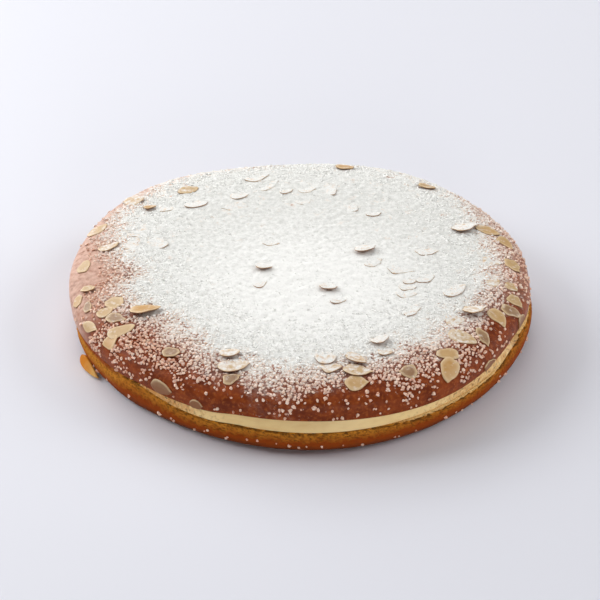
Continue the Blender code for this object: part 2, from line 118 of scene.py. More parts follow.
# Sliced almonds that show, each with its place, size and look: (azimuth in degrees, share of the
# way out to the rim or, past 1, on down the wall, turn of the pointed end from +X in degrees,
# length mm, width mm, height of the raised front edge mm, look)
ALMONDS = (
    # Left side
    (171, 0.85, 30, 12.5, 8.5, 1.2, "dusted"), (180, 0.935, 74, 13, 7, 0, "pale"),
    (191, 0.92, -5, 8.5, 6, 1.2, "pale"), (193.5, 0.975, 63, 9, 6, 0, "pale"),
    (198, 0.95, 81, 9, 5, 0, "soaked"), (201, 0.85, 175, 11, 10.5, 0, "pale"),
    (203.5, 0.905, 28, 9.5, 8, 0, "pale"), (208, 0.885, -25, 12, 7.5, 0, "soaked"),
    (205, 0.985, -36, 12.5, 6.5, 0, "pale"), (213.5, 0.91, 18, 16.5, 8.5, 0, "pale"),
    (214, 0.975, 177, 9.5, 9, 0, "gold"), (210.5, 0.765, 3, 17, 10.5, 3, "gold"),
    (232, 0.88, -12, 10.5, 7.5, 0.8, "soaked"), (234.5, 1.0, -30, 14, 8.5, 0, "soaked"),
    (244.5, 1.02, -40, 8, 6, 0, "soaked"),
    # Front
    (251, 0.845, 5, 17.5, 10, 1.6, "dusted"), (248, 0.78, 6, 11, 8, 1.8, "dusted"),
    (252, 0.915, 16, 9.5, 7, 0, "soaked"), (278, 0.75, 8, 12, 11.5, 1.2, "dusted"),
    (279, 0.815, 13, 11.5, 8, 1.2, "dusted"), (287, 0.78, -35, 12.5, 8, 2, "dusted"),
    (286, 0.845, -12, 15.5, 9, 1.2, "dusted"), (284.5, 0.91, 7, 13, 9.5, 0, "pale"),
    (298.5, 0.905, 194, 10, 9.5, 0, "soaked"), (298, 0.695, 42, 11, 7.5, 2.2, "dusted"),
    (296.5, 0.77, 9, 8, 6.5, 1.4, "dusted"), (311.5, 0.90, 197, 13.5, 8, 0, "pale"),
    (308.5, 0.965, -86, 17, 10.5, 0, "gold"),
    # Right side
    (320, 0.88, -23, 16.5, 10.5, 0, "dusted"), (325, 0.795, 12, 11.5, 9.5, 0, "dusted"),
    (324.5, 0.94, -65, 12.5, 7, 0, "soaked"), (322, 1.02, 56, 11, 5.5, 0, "pale"),
    (334.5, 0.935, -59, 15, 9, 0, "pale"), (332.5, 0.835, 21, 13.5, 9.5, 3, "dusted"),
    (340.5, 0.705, 48, 17, 9.5, 1, "dusted"), (339.5, 0.965, -7, 13, 8, 0, "soaked"),
    (341, 1.0, 20, 9, 8, 0, "soaked"), (344, 0.955, -38, 10, 8, 0, "pale"),
    (349.5, 0.84, 37, 9.5, 6.5, 0, "dusted"), (349.5, 0.92, -48, 9, 6.5, 0, "dusted"),
    (0.5, 0.93, -62, 13, 8, 0, "pale"), (1.5, 0.84, -21, 11.5, 8, 0, "dusted"),
    (12.5, 0.935, -60, 14, 7.5, 0, "pale"), (19, 0.895, -25, 14, 9.5, 0, "pale"),
    (21.5, 0.795, 39, 17, 10, 2.4, "dusted"), (49.5, 0.90, -24, 11, 8, 1, "pale"),
    # Middle and far side
    (319.5, 0.615, 52, 13.5, 7.5, 1, "dusted"), (349, 0.44, -16, 14, 9.5, 1, "dusted"),
    (344.5, 0.56, 30, 12, 8, 1, "dusted"), (339.5, 0.505, 10, 8, 6.5, 1, "dusted"),
    (7.5, 0.56, 13, 13.5, 9, 1, "dusted"), (334, 0.515, 6, 10, 7, 0.8, "dusted"),
    (328.5, 0.535, 8, 11.5, 8, 0.8, "dusted"), (14.5, 0.295, 20, 12.5, 9, 2.2, "dusted"),
    (355, 0.32, 40, 11.5, 8, 0.8, "dusted"), (206, 0.175, -15, 9.5, 7.5, 1.8, "dusted"),
    (230.5, 0.275, 40, 8.5, 6.5, 1.4, "dusted"), (134.5, 0.18, -8, 9, 7, 1.4, "dusted"),
    (297, 0.265, -6, 10, 8, 1.8, "dusted"), (295.5, 0.365, 8, 9, 7, 1.6, "dusted"),
    (145.5, 0.81, 2, 8, 6, 1.6, "gold"), (143, 0.745, -9, 11.5, 8, 0.8, "dusted"),
    (129, 0.80, 13, 13, 9, 0, "pale"), (116, 0.635, 15, 12, 9, 1.4, "dusted"),
    (105, 0.805, 27, 15, 10, 0.8, "dusted"), (102, 0.71, 54, 16, 8, 0.8, "dusted"),
    (87, 0.645, 19, 11, 8, 1, "dusted"), (88, 0.525, 31, 10, 7.5, 0.8, "dusted"),
    (96, 0.635, 25, 8.5, 6.5, 1.4, "dusted"), (76.5, 0.91, -14, 12, 9, 0.8, "gold"),
)

# How much of a slice's upper side each look leaves under icing sugar
DUST_ON = {"dusted": 0.92, "pale": 0.12, "gold": 0.06, "soaked": 0.16}

# How much less the dusted ones carry where the crust is bare, and how much more the others carry
# where the icing sugar covers it
BARER_OUTSIDE = 0.75
DUST_FROM_FIELD = 0.2

# The rest are strewn over what the placed ones leave bare of the far side
STREWN_ALMONDS = 18
STREWN_AZIMUTHS = (20, 172)
STREWN_SHARES = (0.45, 0.985)
STREWN_LENGTH = (8.5, 15.5)
STREWN_WIDTH = (0.58, 0.75)
STREWN_RAISED = (0, 0, 1.5)
ALMOND_SPACING = 13 * MM

# A slice is wider towards one end and pointed at the other
ALMOND_TAPER = 0.25
ALMOND_POINT = (0.06, 0.30)

# One long toasted slice has slid off and leans on the foot at the left
FALLEN_AZIMUTHS = (199.5, 209)

# The largest sugar nibs, thickest between the white middle and the bare rim, and at the foot.
# Sizes are in mm, the belt is shares of the way out: from, to, thickest
LARGE_NIBS = 112
LARGE_NIB_SIZE = (1.9, 2.9)
LARGE_NIB_BELT = (0.50, 0.97, 0.80)
NIB_CLEAR_OF_ALMONDS = 1.12
LARGE_NIB_SPACING = 6 * MM
FOOT_NIBS = 18
FOOT_NIB_PLACES = (0.15, 0.85)
FOOT_NIB_HEIGHTS = (2.6 * MM, 6.5 * MM)
SEED = 23

# Small grains seen at the foot: (azimuth in degrees, height mm), and how many more are strewn
SMALL_FOOT_NIBS = ((223, 6.5), (237.5, 4), (243.5, 3), (246.5, 5), (252.5, 5), (257.5, 6.5),
                   (260, 7), (264.5, 6.5), (271.5, 5), (275, 5), (310.5, 4), (313, 1.5),
                   (316.5, 1.5), (320.5, 1.5), (327.5, 8.5), (333, 1))
STREWN_FOOT_NIBS = 26
SMALL_FOOT_NIB_SIZE = (1.1, 1.8)

# Points round and along the smooth surfaces that toppings are laid on
SURFACE_SIDES = 240
SURFACE_RINGS = 80


def length_setting(name, description, default):
    """A length in metres."""
    return bpy.props.FloatProperty(
        name=name, description=description, default=default, unit="LENGTH")


def power_setting(name, description, default):
    """The power of a light in watts."""
    return bpy.props.FloatProperty(
        name=name, description=description, default=default, unit="POWER")


def colour_setting(name, description, default):
    """A colour, in linear red, green and blue."""
    return bpy.props.FloatVectorProperty(
        name=name, description=description, default=default, subtype="COLOR", min=0, max=1)


class CakeSizes(bpy.types.PropertyGroup):
    """Sizes of the two halves of the brioche and of the cream between them."""

    radius: length_setting("Radius", "Mean radius of the cake", 131 * MM)
    height: length_setting("Height", "Top of the crust without almonds", 41.5 * MM)
    base_height: length_setting("Lower half", "Height of the lower half", 17.3 * MM)
    cream_height: length_setting("Cream", "Height of the layer of cream", 5.3 * MM)
    foot_inset: length_setting("Foot inset", "How far the browned foot rounds in", 5.7 * MM)
    waist_height: length_setting(
        "Waist", "Height of the crust's widest ring above its lower edge", 5 * MM)
    crust_inset: length_setting(
        "Crust inset", "How far the crust stays inside the lower half", 1 * MM)
    dome_power: bpy.props.FloatProperty(
        name="Dome", description="Squareness of the dome, 2 for a round one", default=3)


class ToppingSizes(bpy.types.PropertyGroup):
    """Sizes and amounts of the almonds, the sugar nibs and the icing sugar."""

    almond_thickness: length_setting("Almond thickness", "Thickness of a slice", 0.85 * MM)
    nib_spacing: length_setting(
        "Nib spacing", "Distance between sugar nibs where they lie thickest", 1.95 * MM)
    nib_smallest: length_setting("Smallest nib", "Size of the smallest nibs", 1.25 * MM)
    nib_largest: length_setting("Largest nib", "Size of the common nibs' largest", 2.3 * MM)
    sugar_fade: bpy.props.FloatProperty(
        name="Sugar fade", description="Share of the radius over which the icing sugar thins out",
        default=0.21, subtype="FACTOR", min=0, max=1)
    powder_relief: length_setting(
        "Powder relief", "Height of the lumps in the icing sugar", 0.62 * MM)
    pore_depth: length_setting("Pore depth", "Depth of the pores in the crumb", 1.1 * MM)


class CakeColours(bpy.types.PropertyGroup):
    """Colours of the baked dough, the cream, the almonds and the sugar."""

    crust: colour_setting("Crust", "Glazed crust", (0.275, 0.053, 0.010))
    crust_light: colour_setting(
        "Light crust", "Thinly browned patches of the crust", (0.40, 0.11, 0.024))
    crust_dark: colour_setting("Dark crust", "Darkest patches of the crust", (0.15, 0.025, 0.006))
    # Painted sheen: a pale glare of light off the glaze, painted on the rim
    crust_painted_sheen: colour_setting(
        "Hazy crust", "Crust under a film of melted icing sugar", (0.70, 0.45, 0.35))
    crumb: colour_setting("Crumb", "Cut crumb of the brioche", (0.56, 0.215, 0.024))
    # Painted shade: the dark colour put in the pores and holes of the crumb
    pore_shade: colour_setting("Pores", "Depth of the crumb's pores", (0.12, 0.052, 0.010))
    foot: colour_setting("Foot", "Browned foot of the lower half", (0.18, 0.042, 0.011))
    baked_crumb: colour_setting(
        "Baked crumb", "Crumb just above the browned foot", (0.30, 0.055, 0.006))
    cream: colour_setting("Cream", "Pastry cream", (0.95, 0.69, 0.31))
    icing_sugar: colour_setting("Icing sugar", "Sieved icing sugar", (0.93, 0.925, 0.895))
    shaded_sugar: colour_setting(
        "Shaded icing sugar", "Icing sugar in the hollows of a thinner layer", (0.68, 0.68, 0.645))
    # Partly painted shade: the crust's tint under thin icing sugar, made darker for the shade
    # between the grains
    thin_sugar_and_shade: colour_setting(
        "Thin icing sugar", "Icing sugar that the crust tints from below", (0.85, 0.77, 0.69))
    nib: colour_setting("Sugar nib", "Nib of pearl sugar on the glaze", (0.94, 0.68, 0.50))
    glazed_nib: colour_setting(
        "Glazed nib", "Nib of pearl sugar that the glaze has tinted", (0.74, 0.375, 0.24))
    almond_pale: colour_setting("Pale almond", "Clean slice of almond", (0.52, 0.345, 0.16))
    almond_gold: colour_setting("Golden almond", "Lightly toasted slice", (0.55, 0.285, 0.075))
    almond_soaked: colour_setting(
        "Soaked almond", "Slice that the glaze has turned clear", (0.26, 0.125, 0.05))
    almond_rim: colour_setting("Almond rim", "Pale rim of a slice", (0.74, 0.55, 0.32))
    # Partly painted shade: the toasted edge and underside, also darker to stand for the shade under
    # the slice
    almond_edge_and_shade: colour_setting(
        "Almond edge", "Toasted edge and underside of a slice", (0.26, 0.10, 0.03))
    toasted: colour_setting("Toasted almond", "The slice at the foot", (0.60, 0.20, 0.006))
    toasted_tip: colour_setting(
        "Toasted tip", "Thin end of the slice at the foot", (0.64, 0.36, 0.10))


class StageSettings(bpy.types.PropertyGroup):
    """The floor, the light and the camera."""

    floor: colour_setting("Floor", "Pale floor", (0.755, 0.76, 0.82))
    floor_size: length_setting("Floor size", "Width of the floor", 8)
    sky: colour_setting("Surrounding light", "Pale light from all round", (0.95, 0.95, 1.0))
    sky_strength: bpy.props.FloatProperty(
        name="Surrounding strength", description="Strength of the light from all round",
        default=0.03)
    window_power: power_setting("Window power", "Power of the large soft light behind", 56)
    low_power: power_setting(
        "Low window power", "Power of the low soft light behind at the left", 44)
    side_power: power_setting("Side power", "Power of the soft light at the left", 13)
    right_power: power_setting("Right power", "Power of the soft light at the right", 27)
    top_power: power_setting("Top power", "Power of the soft light above", 12)
    fill_power: power_setting("Fill power", "Power of the low soft light in front", 20)
    camera_distance: length_setting("Camera distance", "Distance from the cake's middle", 1.3)
    camera_elevation: bpy.props.FloatProperty(
        name="Camera elevation", description="Angle above the floor", default=math.radians(33),
        subtype="ANGLE")
    lens: bpy.props.FloatProperty(
        name="Lens", description="Focal length in mm", default=134.9)
    aim_height: length_setting(
        "Aim", "How far up the view the middle of the floor is passed", 11.4 * MM)


# Shape of the cake

def sizes():
    """Sizes of the two halves and the cream."""
    return bpy.context.scene.cake_sizes


def toppings():
    """Sizes and amounts of the toppings."""
    return bpy.context.scene.cake_toppings


def colours():
    """Colours of every finish."""
    return bpy.context.scene.cake_colours


def stage():
    """Settings of floor, light and camera."""
    return bpy.context.scene.cake_stage


def waves(azimuth, terms):
    """Sum of the waves round the rim at an azimuth in radians."""
    return sum(size * np.cos(count * azimuth - math.radians(crest)) for count, size, crest in terms)


def smooth(share):
    """Ease from 0 to 1."""
    share = np.clip(share, 0, 1)
    return share * share * (3 - 2 * share)


def ramp(value, low, high):
    """Eased step from 0 at low to 1 at high."""
    return smooth((value - low) / (high - low))


def relief(coords, wavelength, squash=1):
    """Smooth noise from -1 to 1 at points, with lumps of about a wavelength."""
    scaled = coords / wavelength
    scaled[:, 2] *= squash
    return np.array([noise.noise(Vector(place)) for place in scaled])


def degrees_apart(azimuth, other):
    """Degrees between an azimuth in radians and another in degrees."""
    return np.abs((np.degrees(azimuth) - other + 180) % 360 - 180)


def stretch_share(azimuth, stretches):
    """1 inside the stretches of the rim, 0 outside them."""
    return np.max([1 - smooth((degrees_apart(azimuth, middle) - reach) / fall)
                   for middle, reach, fall in stretches], axis=0)


def weighted_stretches(azimuth, terms):
    """Sum of the stretches of the rim that each carry a number of their own."""
    return sum(much * stretch_share(azimuth, (stretch,)) for stretch, much in terms)


def closed(azimuth):
    """1 where the lower half has closed round the cream, 0 where the cream shows."""
    return stretch_share(azimuth, CLOSED_STRETCHES)


def base_rim(azimuth):
    """Radius of the lower half at its cut edge."""
    return sizes().radius + waves(azimuth, BASE_OUTLINE) * MM


def base_edge(azimuth):
    """Radius of the lower half where it shows, drawn in a little under the low crust."""
    return base_rim(azimuth) - NARROWER * stretch_share(azimuth, NARROW_STRETCHES)


def crust_rim(azimuth):
    """Radius of the upper half where it is widest."""
    middle, reach, height = CRUST_SWELL
    swell = height * (1 - smooth(degrees_apart(azimuth, middle) / reach))
    return sizes().radius - sizes().crust_inset + waves(azimuth, CRUST_OUTLINE) * MM + swell


def cut_height(azimuth):
    """Height of the lower half's cut face at the rim, without its risen lip."""
    dips = weighted_stretches(azimuth, SEAM_DIPS)
    return sizes().base_height + waves(azimuth, BASE_RISE) * MM - dips


def crust_edge_height(azimuth):
    """Height of the crust's lower edge."""
    return cut_height(azimuth) + sizes().cream_height + waves(azimuth, CREAM_RISE) * MM


def base_top(azimuth, radius):
    """Height of the lower half's upper face: level in the middle, uneven at the rim."""
    rim = base_rim(azimuth)
    height = sizes().base_height
    face = height + (cut_height(azimuth) - height) * (radius / rim) ** 2
    lip = closed(azimuth) ** LIP_LAG * (crust_edge_height(azimuth) - GAP - cut_height(azimuth))
    return face + lip * np.clip((LIP_WIDTH + LIP_LEVEL - (rim - radius)) / LIP_WIDTH, 0, 1)


def crust_under(azimuth, radius):
    """Height of the upper half's cut face."""
    middle = sizes().base_height + sizes().cream_height
    return middle + (crust_edge_height(azimuth) - middle) * (radius / crust_rim(azimuth)) ** 2


def dome_height(azimuth, share):
    """Height of the crust at a share of the way out to the rim."""
    widest = crust_edge_height(azimuth) + sizes().waist_height
    power = sizes().dome_power
    return widest + (sizes().height - widest) * np.clip(1 - share ** power, 0, 1) ** (1 / power)


def sugar_edge(azimuth, share):
    """Share of the way out at which the icing sugar thins out, patchy on a small scale."""
    spots = at_azimuth(azimuth, share * crust_rim(azimuth), 0).reshape(-1, 3)
    patches = SUGAR_PATCH_REACH * relief(spots, SUGAR_PATCH).reshape(np.shape(azimuth))
    wider = weighted_stretches(azimuth, SUGAR_WIDER)
    return SUGAR_EDGE + waves(azimuth, SUGAR_EDGE_WAVES) + wider + patches


def sugar_cover(azimuth, share):
    """How thickly the icing sugar lies: 1 in the middle, 0 at the bare rim."""
    return smooth(0.5 + (sugar_edge(azimuth, share) - share) / (2 * toppings().sugar_fade))


def thick_sugar(azimuth, share):
    """1 where the icing sugar is thick enough to even out what lies under it, else 0."""
    return ramp(sugar_edge(azimuth, share) - share, *THICK_SUGAR)


def at_azimuth(azimuth, radius, height):
    """Points of the frame at an azimuth in radians and a radius from the cake's own middle."""
    middle_x, middle_y = outline_middle()
    return np.stack(np.broadcast_arrays(
        radius * np.cos(azimuth) - middle_x, radius * np.sin(azimuth) - middle_y, height), axis=-1)


def outline_middle():
    """Middle of the box round both halves' outlines, which the frame puts at its origin."""
    azimuth = np.arange(OUTLINE_STEPS) * math.tau / OUTLINE_STEPS
    reach = np.maximum(base_rim(azimuth), crust_rim(azimuth))
    across = reach * np.cos(azimuth)
    along = reach * np.sin(azimuth)
    return (across.max() + across.min()) / 2, (along.max() + along.min()) / 2


class Surface:
    """The smooth outside of a half, to lay toppings on."""

    def __init__(self, rings):
        """rings holds the points of each ring, from one end of the surface to the other."""
        count = len(rings[0])
        points = np.concatenate(rings)
        faces = []
        for ring in range(len(rings) - 1):
            for side in range(count):
                after = (side + 1) % count
                faces.append((ring * count + side, ring * count + after,
                              (ring + 1) * count + after, (ring + 1) * count + side))
        self.tree = BVHTree.FromPolygons([tuple(point) for point in points], faces)

    def nearest(self, point):
        """Point of the surface nearest to a place, and the surface's outward normal there."""
        place, normal, _, _ = self.tree.find_nearest(Vector(point))
        return place, normal


def crust_surface():
    """The crust from its lower edge over the dome, without relief."""
    azimuth = np.arange(SURFACE_SIDES) * math.tau / SURFACE_SIDES
    rim = crust_rim(azimuth)
    edge = crust_edge_height(azimuth)
    rings = [at_azimuth(azimuth, rim - EDGE_INSET, edge)]
    for share in 1 - np.linspace(0, 1, SURFACE_RINGS) ** 2:
        rings.append(at_azimuth(azimuth, rim * share, dome_height(azimuth, share)))
    return Surface(rings)


def base_surface():
    """The wall of the lower half, from its foot up to its edge."""
    azimuth = np.arange(SURFACE_SIDES) * math.tau / SURFACE_SIDES
    rim = base_edge(azimuth)
    top = base_top(azimuth, rim)
    return Surface([at_azimuth(azimuth, rim * (1 - inset * sizes().foot_inset / sizes().radius),
                               up * top) for inset, up in WALL])


def crust_place(surface, azimuth, share):
    """Point and normal of the crust at a share of the way out, or past 1 down its wall."""
    if share < 1:
        height = dome_height(azimuth, share)
    else:
        height = dome_height(azimuth, 1) - (share - 1) * sizes().radius
    return surface.nearest(at_azimuth(azimuth, min(share, 1) * crust_rim(azimuth), height))


def flat_place(azimuth, share):
    """A place on the crust seen from above."""
    return Vector(at_azimuth(azimuth, share * crust_rim(azimuth), 0))


def almond_places(rng):
    """Every almond slice on the crust: the placed ones, then the strewn ones."""
    slices = []
    for azimuth, share, turn, length, width, raised, look in ALMONDS:
        slices.append((math.radians(azimuth), share, math.radians(turn), length * MM, width * MM,
                       raised * MM, look))
    spots = [flat_place(azimuth, share) for azimuth, share, *_ in slices]
    while len(slices) < len(ALMONDS) + STREWN_ALMONDS:
        azimuth = math.radians(rng.uniform(*STREWN_AZIMUTHS))
        share = rng.uniform(*STREWN_SHARES)
        spot = flat_place(azimuth, share)
        if min((spot - other).length for other in spots) < ALMOND_SPACING:
            continue
        length = rng.uniform(*STREWN_LENGTH) * MM
        turn = rng.uniform(0, math.tau)
        width = length * rng.uniform(*STREWN_WIDTH)
        slices.append((azimuth, share, turn, length, width, rng.choice(STREWN_RAISED) * MM,
                       "dusted"))
        spots.append(spot)
    return slices


def large_nib_places(slices, rng):
    """Where the largest sugar nibs lie, clear of the almonds and of each other, and their size."""
    almonds = []
    for azimuth, share, _, length, *_ in slices:
        reach = (length * NIB_CLEAR_OF_ALMONDS + LARGE_NIB_SIZE[1] * MM) / 2
        almonds.append((flat_place(azimuth, share), reach))
    places = []
    spots = []
    while len(places) < LARGE_NIBS:
        azimuth = rng.uniform(0, math.tau)
        share = rng.triangular(*LARGE_NIB_BELT)
        spot = flat_place(azimuth, share)
        if any((spot - middle).length < reach for middle, reach in almonds):
            continue
        if any((spot - other).length < LARGE_NIB_SPACING for other in spots):
            continue
        spots.append(spot)
        places.append((azimuth, share, rng.uniform(*LARGE_NIB_SIZE) * MM))
    return places


def foot_nib_places(rng):
    """Where grains of sugar lie round the browned foot of the lower half, and their size."""
    places = []
    for count in range(FOOT_NIBS):
        azimuth = math.tau * (count + rng.uniform(*FOOT_NIB_PLACES)) / FOOT_NIBS
        height = rng.uniform(*FOOT_NIB_HEIGHTS)
        places.append((azimuth, height, rng.uniform(*LARGE_NIB_SIZE) * MM))
    return places


# Modelling

MERGE = 0.001 * MM
SHARP_EDGE = math.radians(50)


def turned_piece(name, profile, steps):
    """Closed shape of a profile turned round Z, from the middle of its underside out and up.

    profile holds (radius, height) pairs, and starts and ends on the axis.
    """
    bpy.ops.object.select_all(action="DESELECT")
    radius, height = profile[0]
    bpy.ops.mesh.primitive_plane_add(size=MM, location=(radius, 0, height))
    piece = bpy.context.object
    piece.name = piece.data.name = name
    bpy.ops.object.transform_apply(location=True, rotation=True, scale=True)
    bpy.ops.object.mode_set(mode="EDIT")
    bpy.ops.mesh.merge(type="CENTER")
    for next_radius, next_height in profile[1:]:
        step = (next_radius - radius, 0, next_height - height)
        bpy.ops.mesh.extrude_region_move(TRANSFORM_OT_translate={"value": step})
        radius, height = next_radius, next_height
    bpy.ops.mesh.select_all(action="SELECT")
    bpy.ops.mesh.spin(steps=steps, angle=math.tau, center=(0, 0, 0), axis=(0, 0, 1))
    bpy.ops.mesh.select_all(action="SELECT")
    bpy.ops.mesh.remove_doubles(threshold=MERGE)
    bpy.ops.mesh.normals_make_consistent(inside=False)
    bpy.ops.object.mode_set(mode="OBJECT")
    return piece


def points_of(piece, kind="co"):
    """Places of the points of a piece's mesh, one row each, or what else they hold."""
    rows = np.empty(len(piece.data.vertices) * 3)
    piece.data.vertices.foreach_get(kind, rows)
    return rows.reshape(-1, 3)


def move_points(piece, coords):
    """Put the points of a piece's mesh at new places."""
    piece.data.vertices.foreach_set("co", np.asarray(coords, dtype=np.float32).ravel())
    piece.data.update()


def polar(coords):
    """Azimuth, radius and height of points round Z."""
    x, y, height = coords.T
    return np.arctan2(y, x), np.hypot(x, y), height


def even_steps(points, spacing):
    """A line of (radius, height) points with new ones at an even spacing along it."""
    points = np.array(points, dtype=float)
    lengths = np.hypot(*np.diff(points, axis=0).T)
    along = np.concatenate(([0], np.cumsum(lengths)))
    places = np.linspace(0, along[-1], max(2, round(along[-1] / spacing) + 1))
    return np.stack((np.interp(places, along, points[:, 0]),
                     np.interp(places, along, points[:, 1])), axis=1)


def soften(points, passes):
    """Round the corners of a line, whose two ends stay where they are."""
    for _ in range(passes):
        points[1:-1] = (points[:-2] + 2 * points[1:-1] + points[2:]) / 4
    return points


def store(piece, name, values):
    """Keep a number for each point of a piece, for its finish to read."""
    attribute = piece.data.attributes.new(name, "FLOAT", "POINT")
    attribute.data.foreach_set("value", np.asarray(values, dtype=np.float32))


def pick(piece):
    """Select a piece alone."""
    bpy.ops.object.select_all(action="DESELECT")
    piece.select_set(True)
    bpy.context.view_layer.objects.active = piece


def swell(piece, strength, wavelength):
    """Make a piece softly uneven."""
    texture = bpy.data.textures.new(piece.name + "_swell", "CLOUDS")
    texture.noise_scale = wavelength
    texture.noise_depth = 1
    modifier = piece.modifiers.new("swell", "DISPLACE")
    modifier.texture = texture
    modifier.texture_coords = "LOCAL"
    modifier.strength = strength
    modifier.mid_level = 0.5
    pick(piece)
    bpy.ops.object.modifier_apply(modifier=modifier.name)


def dress(piece, finish, slot, *nodes, sharp=SHARP_EDGE):
    """Give a piece its finish, hang it under the root body, and hide the parts of the model that it
    stands for.
    """
    piece.data.materials.clear()
    piece.data.materials.append(finish)
    pick(piece)
    bpy.ops.object.shade_smooth_by_angle(angle=sharp)
    piece.select_set(False)
    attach(piece, "root")
    if nodes:
        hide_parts(*nodes)


def joined_copies(name, shape, faces, copies, values):
    """One mesh of many copies of a shape: copies holds each copy's points, values a number each."""
    count = len(shape)
    points = np.concatenate(copies)
    starts = np.arange(len(copies)) * count
    corners = (np.array(faces)[None, :, :] + starts[:, None, None]).reshape(-1, len(faces[0]))
    mesh = bpy.data.meshes.new(name)
    mesh.from_pydata(points, [], corners)
    piece = bpy.data.objects.new(name, mesh)
    bpy.context.scene.collection.objects.link(piece)
    for attribute, numbers in values.items():
        store(piece, attribute, np.repeat(numbers, count))
    return piece


# Finishes

def new_finish(name):
    """A new material, its node tree and its shader."""
    material = bpy.data.materials.new(name)
    material.use_nodes = True
    tree = material.node_tree
    return material, tree, tree.nodes["Principled BSDF"]


def feed(tree, socket, value):
    """Link a socket to another node's output, or set its number or colour."""
    if isinstance(value, bpy.types.NodeSocket):
        tree.links.new(value, socket)
    elif socket.type == "RGBA":
        socket.default_value = (*tuple(value)[:3], 1)
    else:
        socket.default_value = value


def grain(tree, scale, detail=2, roughness=0.5, stretch=(1, 1, 1)):
    """Fine noise from 0 to 1 in the piece's own coordinates; scale is in lumps per metre."""
    place = tree.nodes.new("ShaderNodeTexCoord")
    mapping = tree.nodes.new("ShaderNodeMapping")
    mapping.inputs["Scale"].default_value = stretch
    tree.links.new(place.outputs["Object"], mapping.inputs["Vector"])
    made = tree.nodes.new("ShaderNodeTexNoise")
    tree.links.new(mapping.outputs["Vector"], made.inputs["Vector"])
    made.inputs["Scale"].default_value = scale
    made.inputs["Detail"].default_value = detail
    made.inputs["Roughness"].default_value = roughness
    return made.outputs["Fac"]


def stored(tree, name):
    """A number kept on the piece's points."""
    made = tree.nodes.new("ShaderNodeAttribute")
    made.attribute_name = name
    return made.outputs["Fac"]


def spread(tree, value, low, high, start=0, end=1):
    """Map a number from low..high to start..end, and keep it inside them."""
    made = tree.nodes.new("ShaderNodeMapRange")
    feed(tree, made.inputs["Value"], value)
    made.inputs["From Min"].default_value = low
    made.inputs["From Max"].default_value = high
    made.inputs["To Min"].default_value = start
    made.inputs["To Max"].default_value = end
    return made.outputs["Result"]


def arithmetic(tree, operation, first, second):
    """One step of arithmetic."""
    made = tree.nodes.new("ShaderNodeMath")
    made.operation = operation
    feed(tree, made.inputs[0], first)
    feed(tree, made.inputs[1], second)
    return made.outputs[0]


def times(tree, first, second):
    """Product of two numbers."""
    return arithmetic(tree, "MULTIPLY", first, second)


def plus(tree, first, second):
    """Sum of two numbers."""
    return arithmetic(tree, "ADD", first, second)


def minus(tree, first, second):
    """Difference of two numbers."""
    return arithmetic(tree, "SUBTRACT", first, second)


def larger(tree, first, second):
    """The larger of two numbers."""
    return arithmetic(tree, "MAXIMUM", first, second)


def around_zero(tree, fine, much):
    """A noise from 0 to 1, turned to lie round 0 and made as strong as asked."""
    return times(tree, minus(tree, fine, 0.5), much)


def blend(tree, share, first, second):
    """A colour between two others."""
    made = tree.nodes.new("ShaderNodeMix")
    made.data_type = "RGBA"
    factor, first_socket, second_socket = made.inputs[0], made.inputs[6], made.inputs[7]
    feed(tree, factor, share)
    feed(tree, first_socket, first)
    feed(tree, second_socket, second)
    return made.outputs[2]


def facing_up(tree):
    """How far a face looks up: -1 to 1."""
    geometry = tree.nodes.new("ShaderNodeNewGeometry")
    parts = tree.nodes.new("ShaderNodeSeparateXYZ")
    tree.links.new(geometry.outputs["Normal"], parts.inputs["Vector"])
    return parts.outputs["Z"]


def roughen(tree, shader, height, distance):
    """Fine relief from a height."""
    bump = tree.nodes.new("ShaderNodeBump")
    bump.inputs["Distance"].default_value = distance
    feed(tree, bump.inputs["Height"], height)
    tree.links.new(bump.outputs["Normal"], shader.inputs["Normal"])


def powder_colour(tree, level, rough, thinnest, thickest):
    """Colour of the icing sugar: tinted, with some painted shade, where the level is low, shaded in
    its hollows.
    """
    hues = colours()
    field = blend(tree, rough, hues.shaded_sugar, hues.icing_sugar)
    return blend(tree, spread(tree, level, thinnest, thickest), hues.thin_sugar_and_shade, field)


